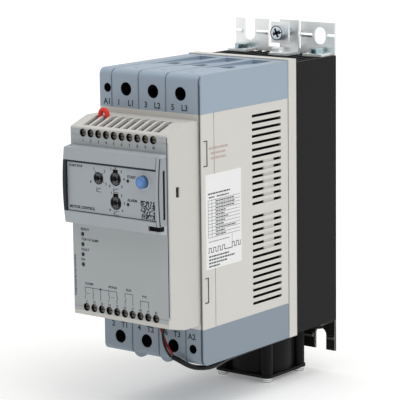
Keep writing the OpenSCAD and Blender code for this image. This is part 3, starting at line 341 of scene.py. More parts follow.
# Tinted polycarbonate button, with a painted highlight in the middle of the dome and painted shade on its
# skirt
def domed(name, shade, corners):
    tree, shader, place = start(name, {"IOR": 1.585})
    low, high = corners
    middle, across = (low + high) / 2, high.x - low.x
    flat = add(tree, "ShaderNodeVectorMath", {1: (1, 0, 1)}, {0: place["Vector"]},
               operation="MULTIPLY").outputs[0]
    away = add(tree, "ShaderNodeVectorMath", {1: (middle.x, 0, middle.z)}, {0: flat}, operation="DISTANCE")
    # Painted highlight towards the middle of the dome, painted shade towards its skirt
    painted_highlight_mask = add(tree, "ShaderNodeMapRange", {"From Min": across * 0.5, "From Max": across * 0.12},
                {"Value": away.outputs["Value"]}).outputs[0]
    haze = add(tree, "ShaderNodeTexNoise", {"Scale": per_mm(2), "Detail": 3}, place).outputs["Fac"]
    finish(tree, shader, painted_highlight_mask, tint(shade, 0.45), tint(shade, 1.3), (0.2, 0.3), haze, 0.05, 0.3)


def material(name):
    """Material of that name."""
    return bpy.data.materials[name]


# Meshes

def show(name, data, finish_name):
    """Object with that mesh or curve and that finish, in the scene."""
    data.materials.append(material(finish_name))
    piece = bpy.data.objects.new(name, data)
    bpy.context.scene.collection.objects.link(piece)
    return piece


def solid(name, mesh, finish_name):
    """Object made of a bmesh in metres, in the scene."""
    data = bpy.data.meshes.new(name)
    mesh.to_mesh(data)
    mesh.free()
    return show(name, data, finish_name)


def link(name, mesh, finish_name, body):
    """Piece made of a bmesh in metres, which rides on a body."""
    piece = solid(name, mesh, finish_name)
    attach(piece, body)


def front_face(y):
    """Plane of a front face: right is +X, up is +Z, out is towards the front. Drawn in millimetres."""
    turn = Matrix(((1, 0, 0), (0, 0, -1), (0, 1, 0))).to_4x4()
    return Matrix.Translation(at(0, y, 0)) @ turn @ Matrix.Scale(MM, 4)


def right_face(x):
    """Plane of the right-hand side: right is +Y, up is +Z, out is +X. Drawn in millimetres."""
    turn = Matrix(((0, 0, 1), (1, 0, 0), (0, 1, 0))).to_4x4()
    return Matrix.Translation(at(x, 0, 0)) @ turn @ Matrix.Scale(MM, 4)


def around(spot, angle, reach):
    """Point of a face at an angle in degrees and a distance from a spot."""
    return spot[0] + cos(radians(angle)) * reach, spot[1] + sin(radians(angle)) * reach


def crown(low, high, steps):
    """Points up the settings cover's crowned front: depth and height, in millimetres."""
    heights = [low + (high - low) * k / steps for k in range(steps + 1)]
    return [(CROWN_Y + (z - BAND_Z) ** 2 / (2 * CROWN_RADIUS), z) for z in heights]


# Cap height of Blender's own font as a share of its size
CAP_SHARE = 0.73


class Print:
    """Print, film, inlay or painted shade on a flat face, gathered in one bmesh in millimetres of that face.
    """

    def __init__(self, thick=None, sunk=0.01):
        """Print as thick as ink unless told otherwise, with its back sunk below the face."""
        self.mesh = bmesh.new()
        self.thick = thick or sizes().ink / MM
        self.mid = self.thick / 2 - sunk

    def bar(self, x, y, wide, tall, turn=0):
        """Bar round its middle, turned by degrees."""
        place = Matrix.Translation((x, y, self.mid)) @ Matrix.Rotation(radians(turn), 4, "Z")
        bmesh.ops.create_cube(self.mesh, size=1, matrix=place @ Matrix.Diagonal((wide, tall, self.thick, 1)))

    def line(self, points, wide):
        """Bars from point to point."""
        for (x0, y0), (x1, y1) in zip(points, points[1:]):
            run, turn = hypot(x1 - x0, y1 - y0), degrees(atan2(y1 - y0, x1 - x0))
            self.bar((x0 + x1) / 2, (y0 + y1) / 2, run + wide, wide, turn)

    def dot(self, x, y, across):
        """Round spot."""
        bmesh.ops.create_cone(self.mesh, cap_ends=True, segments=24, radius1=across / 2, radius2=across / 2,
                              depth=self.thick, matrix=Matrix.Translation((x, y, self.mid)))

    def dashes(self, x, y, length, tall):
        """Row of short bars that stands for a line of small print."""
        widths, gap, shortest = (2.1, 1.3, 2.7, 1.6, 0.9), 0.4, 0.5
        run, k = 0, 0
        while run < length - shortest:
            wide = min(widths[k % len(widths)], length - run)
            self.bar(x + run + wide / 2, y, wide, tall)
            run += wide + gap
            k += 1

    def shape(self, points):
        """Flat piece with that outline."""
        low = [self.mesh.verts.new((x, y, self.mid - self.thick / 2)) for x, y in points]
        made = bmesh.ops.extrude_face_region(self.mesh, geom=[self.mesh.faces.new(low)])
        bmesh.ops.translate(self.mesh, vec=(0, 0, self.thick),
                            verts=[part for part in made["geom"] if isinstance(part, bmesh.types.BMVert)])

    def ring(self, x, y, across, wide, sides=40):
        """Ring round a circle of that diameter."""
        half = self.thick / 2
        corners = [self.mesh.verts.new((x + across / 2 + r, y, self.mid + h))
                   for r, h in ((0, -half), (wide, -half), (wide, half), (0, half))]
        face = self.mesh.faces.new(corners)
        bmesh.ops.spin(self.mesh, geom=[face, *face.edges, *face.verts], cent=(x, y, 0), axis=(0, 0, 1),
                       angle=2 * pi, steps=sides, use_merge=True)
        bmesh.ops.delete(self.mesh, geom=[face], context="FACES_ONLY")

    def words(self, text, x, y, tall, bold=0.05, turn=0):
        """Line of text round its middle, with that cap height."""
        curve = bpy.data.curves.new("words", "FONT")
        curve.body = text
        curve.size = tall / CAP_SHARE
        curve.align_x, curve.align_y = "CENTER", "CENTER"
        curve.extrude = self.thick / 2
        curve.offset = bold
        curve.resolution_u = 3
        holder = bpy.data.objects.new("words", curve)
        mesh = bpy.data.meshes.new_from_object(holder)
        mesh.transform(Matrix.Translation((x, y, self.mid)) @ Matrix.Rotation(radians(turn), 4, "Z"))
        self.mesh.from_mesh(mesh)
        bpy.data.objects.remove(holder)
        bpy.data.curves.remove(curve)
        bpy.data.meshes.remove(mesh)

    def piece(self, name, face, finish_name, body, slot):
        """Lays what was gathered on a face, as one piece."""
        bmesh.ops.remove_doubles(self.mesh, verts=self.mesh.verts, dist=0.001)
        bmesh.ops.recalc_face_normals(self.mesh, faces=self.mesh.faces)
        bmesh.ops.transform(self.mesh, matrix=face, verts=self.mesh.verts)
        link(name, self.mesh, finish_name, body)

    def lining(self, name, face, body):
        """Near-black piece of painted shade in a hole, a gap or a recess."""
        self.piece(name, face, "Painted shade, near black", body, "dark_plastic")


def wire(name, points, across, finish_name, slot, node):
    """Round wire along points of the body frame, which stands for a CAD node."""
    curve = bpy.data.curves.new(name, "CURVE")
    curve.dimensions = "3D"
    curve.bevel_depth = across / 2
    curve.bevel_resolution = 4
    curve.resolution_u = 6
    curve.use_fill_caps = True
    spline = curve.splines.new("BEZIER")
    spline.bezier_points.add(len(points) - 1)
    for knot, point in zip(spline.bezier_points, points):
        knot.co = at(*point)
        knot.handle_left_type = knot.handle_right_type = "AUTO"
    piece = show(name, curve, finish_name)
    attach(piece, HOUSING)
    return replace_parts(piece, node)


class StarterStage(bpy.types.Operator):
    """Sets up the floor, the soft studio light and the camera at the photo's viewpoint."""

    bl_idname = "starter.stage"
    bl_label = "Stage"

    def execute(self, context):
        scene = context.scene
        scene.view_settings.view_transform = "Standard"
        self.floor()
        self.world(scene)
        self.light("key_light", (0.62, 0.05, 0.78), 1.38, 60)
        self.light("top_light", (-0.1, -0.06, 0.97), 1.26, 80)
        self.camera(scene)
        return {"FINISHED"}

    def floor(self):
        """Wide sheet of matt paper just below the part, which gives off a little light."""
        tree, shader, place = start("Matt paper floor", {
            "Emission Color": (1, 1, 1, 1), "Emission Strength": 0.2, "Roughness": 0.9,
            "Specular IOR Level": 0.1})
        shade, reach, gap = colours().floor, 12, 0.3 * MM
        fibre = add(tree, "ShaderNodeTexNoise", {"Scale": per_mm(60), "Detail": 4}, place).outputs["Fac"]
        tone = add(tree, "ShaderNodeMix", {MIX_A: tint(shade, 0.99), MIX_B: tint(shade, 1.01)},
                   {0: fibre}, data_type="RGBA")
        tree.links.new(tone.outputs[MIX_OUT], shader.inputs["Base Color"])
        mesh = bmesh.new()
        bmesh.ops.create_grid(mesh, x_segments=1, y_segments=1, size=reach)
        bmesh.ops.translate(mesh, vec=(0, 0, CAD_BOX[0].z - gap), verts=mesh.verts)
        floor = solid("floor", mesh, "Matt paper floor")

    def world(self, scene):
        """Even white surround, brighter to look at and in reflections, as inside a white tent."""
        world = bpy.data.worlds.new("studio")
        world.use_nodes = True
        tree = world.node_tree
        sky = tree.nodes["Background"]
        sky.inputs["Color"].default_value = (1, 1, 1, 1)
        ray = add(tree, "ShaderNodeLightPath").outputs
        seen = add(tree, "ShaderNodeMath", links={0: ray["Is Glossy Ray"], 1: ray["Is Camera Ray"]},
                   operation="MAXIMUM")
        strength = add(tree, "ShaderNodeMapRange", {"To Min": 0.26, "To Max": 0.95},
                       {"Value": seen.outputs[0]})
        tree.links.new(strength.outputs[0], sky.inputs["Strength"])
        scene.world = world

    def light(self, name, way, strength, soft):
        """Sun from a direction, softened over an angle in degrees."""
        data = bpy.data.lights.new(name, "SUN")
        data.energy = strength
        data.angle = radians(soft)
        lamp = bpy.data.objects.new(name, data)
        lamp.rotation_euler = Vector(way).to_track_quat("Z", "Y").to_euler()
        bpy.context.scene.collection.objects.link(lamp)

    def camera(self, scene):
        """Camera fitted to the photo's corners."""
        data = bpy.data.cameras.new("camera")
        data.lens = sizes().lens
        data.sensor_width = 36
        data.clip_end = 100
        camera = bpy.data.objects.new("camera", data)
        azimuth, elevation, roll = radians(38.08), radians(10.37), radians(-0.72)
        target, distance = at(-10.8, 60, 84.33), 1.26956
        back = Vector((sin(azimuth) * cos(elevation), -cos(azimuth) * cos(elevation), sin(elevation)))
        camera.rotation_mode = "QUATERNION"
        tilt = Matrix.Rotation(roll, 3, "Z").to_quaternion()
        camera.rotation_quaternion = back.to_track_quat("Z", "Y") @ tilt
        camera.location = target + back * distance
        scene.collection.objects.link(camera)
        scene.camera = camera


class StarterFinishes(bpy.types.Operator):
    """Makes the materials and gives every CAD node its own."""

    bl_idname = "starter.finishes"
    bl_label = "Finishes"

    def execute(self, context):
        c = colours()
        moulded("Moulded ABS, warm grey", c.housing)
        moulded("Moulded ABS, module grey", c.module)
        moulded("Moulded ABS, blue grey", c.cover)
        moulded("Moulded ABS, blue grey in painted shade", c.load_cover)
        moulded("Moulded ABS, cool grey", c.panel)
        moulded("Moulded ABS, settings cover", c.band, cloud=18)
        moulded("Moulded ABS, band grey in painted shade", c.band_end)
        moulded("Moulded polyamide, dark", c.dark, (0.4, 0.6), strength=0.2, gloss=0.3)
        moulded("Moulded polyamide, dial", c.dial, (0.4, 0.55), strength=0.15, gloss=0.3)
        moulded("Painted shade, near black", c.lining, (0.7, 0.8), strength=0.1, edge=0.05, gloss=0.08)
        moulded("Glass-filled polyamide, black", c.fan, (0.42, 0.58), strength=0.25, gloss=0.12)
        moulded("Relay case", c.relay)
        domed("Gloss polycarbonate, blue", c.button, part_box("reset_button"))
        anodised("Anodised aluminium, black", c.anodised, c.worn)
        # Zinc sheet, with painted shade along its edges
        plated("Zinc-plated steel", c.zinc, (0.36, 0.5), painted_edge_tone=tint(c.zinc_edge, 1), relief=0.05)
        passivated("Zinc-plated steel, blue and black passivated", c.blue_zinc, c.shaded_zinc,
                   at(0, 0, MIDDLE_Z).z)
        # Lower bracket: zinc darkened as painted shade, with a painted highlight along its edges
        plated("Zinc-plated steel, painted shade", c.shaded_zinc, (0.3, 0.45), edge=0.5, metal=0.5,
               painted_edge_tone=tint(c.shaded_edge, 1), painted_edge_share=1)
        plated("Polished steel", c.chrome, (0.12, 0.2))
        plated("Steel screw heads, recessed", c.steel, (0.3, 0.5), metal=0.7, tones=(0, 1.6))
        threaded("Threaded steel", c.zinc, 1.2)
        plated("Copper bar", c.copper)
        masked_board("Solder mask, green", c.board)
        insulation("PVC insulation, red", c.jumper)
        insulation("PVC wire, red", c.wire_red)
        insulation("PVC wire, black", c.wire_black)
        printed("Pad print, dark", c.ink)
        printed("Pad print, pale", c.pale_ink)
        printed("Pad print, brown", c.brown_ink)
        printed("Label film, white", c.film)
        printed("Label print, grey", c.label_ink)
        smoked("Smoked polycarbonate", c.window)
        for finish_name, nodes in NODE_FINISHES.items():
            for node in nodes.split():
                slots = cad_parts[node].data.materials
                slots.clear()
                slots.append(material(finish_name))
        return {"FINISHED"}


NODE_FINISHES = {
    "Moulded ABS, warm grey": "base_frame rear_housing front_housing",
    "Moulded ABS, module grey": "module_housing",
    "Moulded ABS, blue grey": "line_cover",
    "Moulded ABS, blue grey in painted shade": "load_cover",
    "Moulded ABS, cool grey": "module_panel",
    "Moulded ABS, settings cover": "settings_cover",
    "Moulded polyamide, dark": "upper_terminals lower_terminals trimmers reset_switch mode_switches "
                               "board_link thyristor_blocks",
    "Moulded polyamide, dial": "dial_left dial_upper dial_lower",
    "Glass-filled polyamide, black": "fan_frame fan_rotor",
    "Relay case": "bypass_relays",
    "Gloss polycarbonate, blue": "reset_button",
    "Anodised aluminium, black": "heat_sink",
    "Zinc-plated steel": "line_clamps load_clamps line_clamp_screws load_clamp_screws supply_clamps "
                         "supply_screws top_bracket earth_bracket earth_plate earth_nut earth_foot_screw",
    "Polished steel": "earth_screw",
    "Threaded steel": "fan_screws",
    "Zinc-plated steel, blue and black passivated": "bracket_screws",
    "Zinc-plated steel, painted shade": "bottom_bracket",
    "Steel screw heads, recessed": "upper_terminal_screws lower_terminal_screws",
    "Copper bar": "line_bars load_bars",
    "Solder mask, green": "power_board control_board",
    "Smoked polycarbonate": "status_lights",
}


class StarterFanLead(bpy.types.Operator):
    """Lays the fan's two wires and their sleeve along the route of the CAD source."""

    bl_idname = "starter.fan_lead"
    bl_label = "Fan lead"

    def execute(self, context):
        red = wire("fan_lead_red", RED_ROUTE, sizes().wire, "PVC wire, red", "red_insulation",
                   "fan_wire_red")
        black = wire("fan_lead_black", BLACK_ROUTE, sizes().wire, "PVC wire, black", "black_insulation",
                     "fan_wire_black")
        route = SLEEVE_ROUTE[::-1]
        sleeve = wire("fan_lead_sleeve", route, sizes().sleeve, "PVC wire, black", "black_insulation",
                      "fan_sleeve")
        return {"FINISHED"}


# Points of the fan lead in the body frame, the same as in the CAD source
RED_ROUTE = [(10.9, -6.8, 30.4), (10.9, -6.8, 24.6), (11, -6.1, 20.1), (11.2, -5.3, 17.5),
             (11.8, -4.9, 15.4), (12.9, -4.9, 13), (14.1, -4.8, 10.7), (15.6, -4.6, 8.5),
             (16.7, -4.3, 6.7), (17.4, -4, 5.1)]
BLACK_ROUTE = [(13.9, -6.8, 30.4), (13.9, -6.8, 24.6), (13.5, -6.8, 20.3), (12.8, -6.8, 16.9),
               (13, -6.8, 14), (13.7, -6.6, 11), (14.7, -6, 8), (16, -5, 5.1), (16.7, -4.4, 3.8)]
SLEEVE_ROUTE = [(17.4, -3.9, 3.9), (20.4, -3.3, 2.8), (23.6, -2.4, 1.3), (26.8, -0.6, -0.5),
                (29.4, 1.6, -1.7), (31.9, 4.2, -2.2), (34, 7.8, -2.4), (34.6, 13, -2.5), (33.8, 20, -2.3),
                (32.4, 28, -2), (31.3, 37, -1.9), (30.8, 47, -1.9), (30.6, 58, -1.9), (30.5, 70, -1.9),
                (30.3, 82, -1.9), (29.6, 90, -1.9), (27.9, 95.4, -1.7), (25.3, 98.8, -1.2),
                (22.8, 100, -0.7), (21.02, 100, -0.7)]


class StarterJumper(bpy.types.Operator):
    """Bends the red jumper between two control terminals."""

    bl_idname = "starter.jumper"
    bl_label = "Jumper"

    def execute(self, context):
        low, high = box("jumper_link")
        x, y = (low.x + high.x) / 2, (low.y + high.y) / 2
        across, bend, foot, deep, drop = 3, 2.45, 2.9, 4.7, 1.6
        middle = high.z - drop - across / 2 - bend
        leg = [(foot, -deep), (foot - 0.1, -deep / 2)]
        arch = [(bend * cos(pi * k / 6), bend * sin(pi * k / 6)) for k in range(7)]
        path = leg + arch + [(-side, up) for side, up in reversed(leg)]
        wire("jumper_wire", [(x + side, y, middle + up) for side, up in path], across * MM,
             "PVC insulation, red", "red_insulation", "jumper_link")
        return {"FINISHED"}


# Driver holes of each power cover: the first phase across, the height, and the supply hole across
DRIVER_HOLES = {"line_linings": (-17.5, 158.4, -31.6), "load_linings": (-25.3, 9.4, 29.6)}


class StarterHoleLinings(bpy.types.Operator):
    """Sets near-black rings of painted shade in the driver holes and in the holes of the control terminals.
    """

    bl_idname = "starter.hole_linings"
    bl_label = "Painted shade in holes"

    def execute(self, context):
        phases, pitch, phase_hole, supply_hole, wall = 3, 20.2, 7.7, 5.1, 0.25
        for name, (first, height, supply) in DRIVER_HOLES.items():
            rings = Print(thick=15.7, sunk=16)
            for k in range(phases):
                rings.ring(first + pitch * k, height, phase_hole, wall)
            rings.ring(supply, height, supply_hole, wall)
            rings.lining(name, front_face(0), HOUSING)
        rows = {"upper_terminal_linings": UPPER_ROW_Z, "lower_terminal_linings": LOWER_ROW_Z}
        for name, height in rows.items():
            rings = Print(thick=2.9, sunk=3)
            for x in TERMINALS_X:
                rings.ring(x, height, 4.3, 0.22, 24)
            rings.lining(name, front_face(PANEL_Y), HOUSING)
        return {"FINISHED"}


class StarterSeams(bpy.types.Operator):
    """Paints shade in the corner groove and along the latch gaps, and darkens the seams of the base frame
    and the front panel.
    """

    bl_idname = "starter.seams"
    bl_label = "Seams"

    def execute(self, context):
        # Dark strip of painted shade at the bottom of the corner groove
        corner = Print(thick=0.3, sunk=0)
        corner.bar(SIDE_X - 1.4, 82.5, 1.36, 163)
        corner.piece("corner_groove_shade", front_face(1.6), "Moulded polyamide, dark", HOUSING, "dark_plastic")
        gaps = Print()
        front, rear, half = 2.2, 5.5, 7.3
        # Lines round each latch: its gap, drawn wider as painted shade
        for z in (MIDDLE_Z - 40, MIDDLE_Z + 40):
            gaps.line([(front, z + half), (rear, z + half), (rear, z - half), (front, z - half)], 0.45)
        gaps.bar(FRAME_Y - 0.2, MIDDLE_Z, 0.25, 125)
        gaps.piece("latch_gaps", right_face(SIDE_X), "Pad print, dark", HOUSING, "dark_plastic")
        seam = Print()
        seam.bar(PANEL_Y + 0.45, 86.2, 0.7, 103.4)
        seam.piece("panel_seam", right_face(MODULE_X), "Pad print, dark", HOUSING, "dark_plastic")
        return {"FINISHED"}


class StarterVents(bpy.types.Operator):
    """Paints shade in the side vents with dark sheets behind them and dark strips on their walls, and sets a
    pale tray's edge in the middle ones on the right.
    """

    bl_idname = "starter.vents"
    bl_label = "Vents"

    def execute(self, context):
        behind, thick = 2.2, 0.4
        for name, x in (("right_vent_sheet", SIDE_X - behind - thick), ("left_vent_sheet", behind - SIDE_X)):
            sheet = Print(thick=thick, sunk=0)
            sheet.bar(sum(VENT_Y) / 2, MIDDLE_Z, 31.5, 118)
            sheet.lining(name, right_face(x), HOUSING)
        inside, deep = 0.02, 1.5
        self.linings("right_vent_linings", SIDE_X - inside - deep, deep, TRAY_SLOTS)
        self.linings("left_vent_linings", inside - SIDE_X, deep, [])
        tray = Print(thick=0.6, sunk=1.1)
        for k in TRAY_SLOTS:
            tray.bar(sum(TRAY_Y) / 2, MIDDLE_Z + VENT_PITCH * k, TRAY_Y[1] - TRAY_Y[0], 1.5)
        tray.piece("vent_tray", right_face(SIDE_X), "Moulded ABS, module grey", HOUSING, "pale_plastic")
        return {"FINISHED"}

    def linings(self, name, x, deep, tray_slots):
        """Dark strips of painted shade along the upper and lower wall of each slot, apart from where the
        tray shows.
        """
        strips = Print(thick=deep, sunk=0)
        front, rear, wall = VENT_Y[0] + 0.1, VENT_Y[1] - 0.1, 0.7
        for k in VENT_SLOTS:
            spans = [(front, TRAY_Y[0]), (TRAY_Y[1], rear)] if k in tray_slots else [(front, rear)]
            for low, high in spans:
                for side in (-1, 1):
                    height = MIDDLE_Z + VENT_PITCH * k + side * wall
                    strips.bar((low + high) / 2, height, high - low, 0.16)
        strips.lining(name, right_face(x), HOUSING)


class StarterTerminalMarks(bpy.types.Operator):
    """Prints the standard terminal marks on the two power terminal covers."""

    bl_idname = "starter.terminal_marks"
    bl_label = "Terminal marks"

    def execute(self, context):
        line = {"A1": -31.9, "1": -23.1, "L1": -13.9, "3": -2.7, "L2": 5.8, "5": 17.2, "L3": 25.8}
        load = {"2": -30.5, "T1": -21.8, "4": -10.6, "T2": -2.1, "6": 9.8, "T3": 18, "A2": 28.9}
        for name, marks, height in (("line_marks", line, 150.2), ("load_marks", load, 16.6)):
            ink = Print()
            for words, x in marks.items():
                ink.words(words, x, height, sizes().mark / MM, 0.12)
            ink.piece(name, front_face(0), "Pad print, dark", HOUSING, "blue_grey_plastic")
        return {"FINISHED"}


class StarterPanelPrint(bpy.types.Operator):
    """Prints the wiring diagram, terminal numbers and light names on the module's front panel."""

    bl_idname = "starter.panel_print"
    bl_label = "Panel print"

    def execute(self, context):
        ink = Print()
        for number, x in enumerate(TERMINALS_X, 1):
            ink.words(str(number), x, 131.2, 1.7)
            ink.words(str(number + len(TERMINALS_X)), x, 36.2, 1.4)
        left, half_letter, over_light = -29.3, 0.62, 2.9
        for words, height in {"READY": 76, "TOP OF RAMP": 70, "FAULT": 64, "ON": 58}.items():
            ink.words(words, left + half_letter * len(words), height + over_light, 1.5)
        self.diagram(ink)
        ink.words("THREE-PHASE MOTOR CONTROL", -34.1, 51, 1.2, 0.05, 90)
        ink.piece("panel_print", front_face(PANEL_Y), "Pad print, dark", HOUSING, "grey_plastic")
        return {"FINISHED"}

    def diagram(self, ink):
        """Contacts of the relays and inputs over the lower row of terminals."""
        top, low, wide = 44.6, 38, 0.3
        ink.line([(-27, top), (-2.7, top)], wide)
        ink.dot(-15.2, top, 1.3)
        for x in (-27, -9):
            ink.line([(x, top), (x, 42.2), (x + 0.9, 40)], wide)
            ink.line([(x, 39.6), (x, low)], wide)
        for x in (-21, -2.9):
            ink.line([(x, top), (x, 41.8), (x + 0.7, 41.2), (x, 39.8), (x, low)], wide)
        for x in (-24.4, -6):
            for step in (-0.9, 0, 0.9):
                ink.bar(x + step, 41, 0.5, wide)
        ink.line([(-15.2, top), (-15.2, low)], wide)
        ink.line([(3.3, low), (3.3, 39.6), (4.2, 41.6)], wide)
        ink.line([(3.3, 42), (3.3, top), (9.1, top), (9.1, low)], wide)
        ink.line([(14.8, low), (14.8, 41.8), (20.8, 41.8), (20.8, low)], wide)
        names = {"ALARM": (-23.8, 46.9), "BYPASS": (-5.9, 46.9), "RUN": (6.2, 46.8), "PTC": (17.9, 44.4)}
        for words, (x, height) in names.items():
            ink.words(words, x, height, 1.4)


class StarterPanelLips(bpy.types.Operator):
    """Carries the front panel's grey round the two rows of control terminals."""

    bl_idname = "starter.panel_lips"
    bl_label = "Panel lips"

    def execute(self, context):
        sheet = Print()
        self.scallops(sheet, UPPER_ROW_Z, 134.6, 137.9)
        self.scallops(sheet, LOWER_ROW_Z, 30.5, 33)
        sheet.piece("panel_lips", front_face(PANEL_Y), "Moulded ABS, cool grey", HOUSING, "grey_plastic")
        return {"FINISHED"}

    def scallops(self, sheet, row, low, high):
        """Fills a strip of the lip between the round holes of a row."""
        radius, steps, end = 2.4, 8, MODULE_X - 0.1
        begin, stop = (asin((height - row) / radius) for height in (low, high))
        turns = [begin + (stop - begin) * k / steps for k in range(steps + 1)]
        bow = [(cos(turn) * radius, row + sin(turn) * radius) for turn in turns]
        lefts = [[(-end, low), (-end, high)]] + [[(x + out, z) for out, z in bow] for x in TERMINALS_X]
        rights = [[(x - out, z) for out, z in bow] for x in TERMINALS_X] + [[(end, low), (end, high)]]
        for left, right in zip(lefts, rights):
            sheet.shape(left + right[::-1])


class StarterSettingsPrint(bpy.types.Operator):
    """Prints the dial scales on the settings cover and sets its light windows and patch."""

    bl_idname = "starter.settings_print"
    bl_label = "Settings print"

    def execute(self, context):
        face = front_face(FIELD_Y)
        ink = Print()
        left, upper, lower = DIALS.values()
        self.scale(ink, left, (203, 122, 44, -28))
        for angle in (122, 44, -28):
            ink.line([around(left, angle, reach) for reach in (3.7, 4.8)], 0.35)
        self.scale(ink, upper, (226, 121, 90, 46, 3, -41))
        self.scale(ink, lower, (226, 121, 46, 3, -41))
        for x, y in ((-9.4, 105), (3.3, 105.8), (3.3, 92.8)):
            self.ramp(ink, x, y)
        ink.words("START", 15, 114.4, 1.6, 0.08)
        ink.words("ALARM", 15.2, 101, 1.6, 0.08)
        ink.words("MOTOR CONTROL", -22.2, 93.2, 1.6, 0.1)
        ink.words("START STOP", -26.6, 117.3, 1.3, 0.08)
        ink.bar(1.2, 90.9, 68.2, 0.4)
        ink.bar(1.2, 119.8, 68.2, 1.3)
        ink.piece("settings_print", face, "Pad print, dark", COVER, "grey_plastic")
        windows = Print(thick=0.6, sunk=0.4)
        windows.dot(12.3, 112, 1.9)
        windows.dot(12.2, 98.5, 1.9)
        windows.piece("settings_windows", face, "Smoked polycarbonate", COVER, "dark_plastic")
        # Near-black painted shade in the gaps round the dials and in two key slots
        gaps = Print(thick=0.2, sunk=0.18)
        for name, spot in DIALS.items():
            low, high = box(name)
            gaps.ring(*spot, high.x - low.x + 0.1, 0.42)
        for x, z in (upper, lower):
            gaps.bar(x, z + 4.5, 3.7, 1.8)
        gaps.lining("dial_gap_shade", face, COVER)
        self.patch(face)
        rim = Print()
        rim.ring(*BUTTON, 7.6, 0.9)
        rim.piece("button_ring", face, "Pad print, pale", COVER, "grey_plastic")
        return {"FINISHED"}

    def scale(self, ink, spot, angles):
        """Numbers round a dial."""
        for number, angle in enumerate(angles):
            ink.words(str(number), *around(spot, angle, 6.3), 1.5, 0.08)

    def ramp(self, ink, x, y):
        """Symbol of a slope that rises to a level, on its two axes."""
        ink.line([(x - 1.7, y + 1.3), (x - 1.7, y - 1.3), (x + 1.7, y - 1.3)], 0.3)
        ink.line([(x - 1.7, y - 0.7), (x, y + 0.8), (x + 1.7, y + 0.8)], 0.3)

    def patch(self, face):
        """Square of scattered cells, the same on every run."""
        ink = Print()
        draw = random.Random(5)
        left, low, cells, share = 21.3, 91.4, 15, 0.62
        cell = 10.4 / cells
        for i in range(cells):
            for j in range(cells):
                if draw.random() < share:
                    ink.bar(left + cell * (i + 0.5), low + cell * (j + 0.5), cell * 0.98, cell * 0.98)
        ink.piece("settings_patch", face, "Pad print, dark", COVER, "grey_plastic")


# Upright slot in the right end of the settings cover: its depths and its heights
SLOT_Y = (CROWN_Y + 4.4, CROWN_Y + 6.2)
SLOT_Z = (91.4, 119.6)


class StarterBandEnd(bpy.types.Operator):
    """Gives the raised band its right end in painted shade, a near-black left end, and near-black painted
    shade in its slot, notch and window.
    """

    bl_idname = "starter.band_end"
    bl_label = "Band end"

    def execute(self, context):
        face = right_face(MODULE_X)
        self.right_end(face)
        low, high = 90.6, 120.4
        cap = Print(thick=2.3, sunk=0)
        cap.shape(crown(low, high, 12) + [(FIELD_Y, high), (FIELD_Y, low)])
        cap.piece("band_cap", right_face(-MODULE_X), "Smoked polycarbonate", COVER, "dark_plastic")
        # Near-black painted shade in the upright slot, the notch and the side window
        notch_z, notch_tall = 86.5, 2.6
        linings = Print(thick=0.4, sunk=0.42)
        linings.bar(sum(SLOT_Y) / 2, BAND_Z, 1.7, 27.8)
        linings.bar(-33.1, notch_z, 2.2, notch_tall)
        linings.lining("band_linings", face, COVER)
        notch = Print(thick=0.4, sunk=0)
        notch.bar(30.7, notch_z, 7, notch_tall)
        notch.lining("notch_lining", front_face(-34.3), COVER)
        window = Print(thick=0.4, sunk=1.4)
        window.bar(-19.4, BAND_Z, 3, 6)
        window.lining("window_lining", face, HOUSING)
        return {"FINISHED"}

    def right_end(self, face):
        """End face round the upright slot, darkened as painted shade, and a line of painted shade along its
        crowned edge.
        """
        low, high, back = 88.1, 126.8, CROWN_Y + 7.4
        (front, rear), (bottom, top) = SLOT_Y, SLOT_Z
        edge = crown(low, high, 16)
        end = Print()
        end.shape([(y + 1, z) for y, z in edge] + [(front, high), (front, low)])
        end.bar((front + back) / 2, (top + high) / 2, back - front, high - top)
        end.bar((front + back) / 2, (bottom + low) / 2, back - front, bottom - low)
        end.bar((rear + back) / 2, (bottom + top) / 2, back - rear, top - bottom)
        end.piece("band_end", face, "Moulded ABS, band grey in painted shade", COVER, "grey_plastic")
        line = Print()
        line.shape([(y + 0.02, z) for y, z in edge] + [(y + 0.98, z) for y, z in reversed(edge)])
        line.piece("band_edge_shade", face, "Pad print, dark", COVER, "grey_plastic")


class StarterDialFaces(bpy.types.Operator):
    """Paints shade on every setting dial: a dark middle for its recess, and dark cheeks as painted shadow of
    the gap round it.
    """

    bl_idname = "starter.dial_faces"
    bl_label = "Dial faces"

    def execute(self, context):
        for name, (x, z) in DIALS.items():
            ink = Print()
            low, high = box(name)
            across = high.x - low.x
            ink.bar(x - 0.4, z + 0.1, across * 0.33, across * 0.38)
            rim, inner, tall = across / 2 - 0.08, across * 0.26, across * 0.29
            arc = [around((0, 0), turn, rim) for turn in range(-35, 36, 10)]
            for side in (-1, 1):
                cheek = [(inner, -tall), *arc, (inner, tall)]
                ink.shape([(x + side * right, z + up) for right, up in cheek])
            ink.lining(name + "_face", front_face(low.y), name)
        return {"FINISHED"}


class StarterButtonCap(bpy.types.Operator):
    """Fits the reset button's round-edged cap over its dome."""

    bl_idname = "starter.button_cap"
    bl_label = "Button cap"

    def execute(self, context):
        across, out, inside, round_off = 7.3, 3.5, 1, 1.5
        mesh = bmesh.new()
        bmesh.ops.create_cone(mesh, cap_ends=True, segments=48, radius1=across / 2, radius2=across / 2,
                              depth=out + inside, matrix=Matrix.Translation((*BUTTON, (out - inside) / 2)))
        front = [edge for edge in mesh.edges if all(vert.co.z > 0 for vert in edge.verts)]
        bmesh.ops.bevel(mesh, geom=front, offset=round_off, offset_type="OFFSET", affect="EDGES", segments=6,
                        profile=0.5, material=-1)
        for face in mesh.faces:
            face.smooth = True
        bmesh.ops.transform(mesh, matrix=front_face(FIELD_Y), verts=mesh.verts)
        link("reset_cap", mesh, "Gloss polycarbonate, blue", "reset_button")
        return {"FINISHED"}


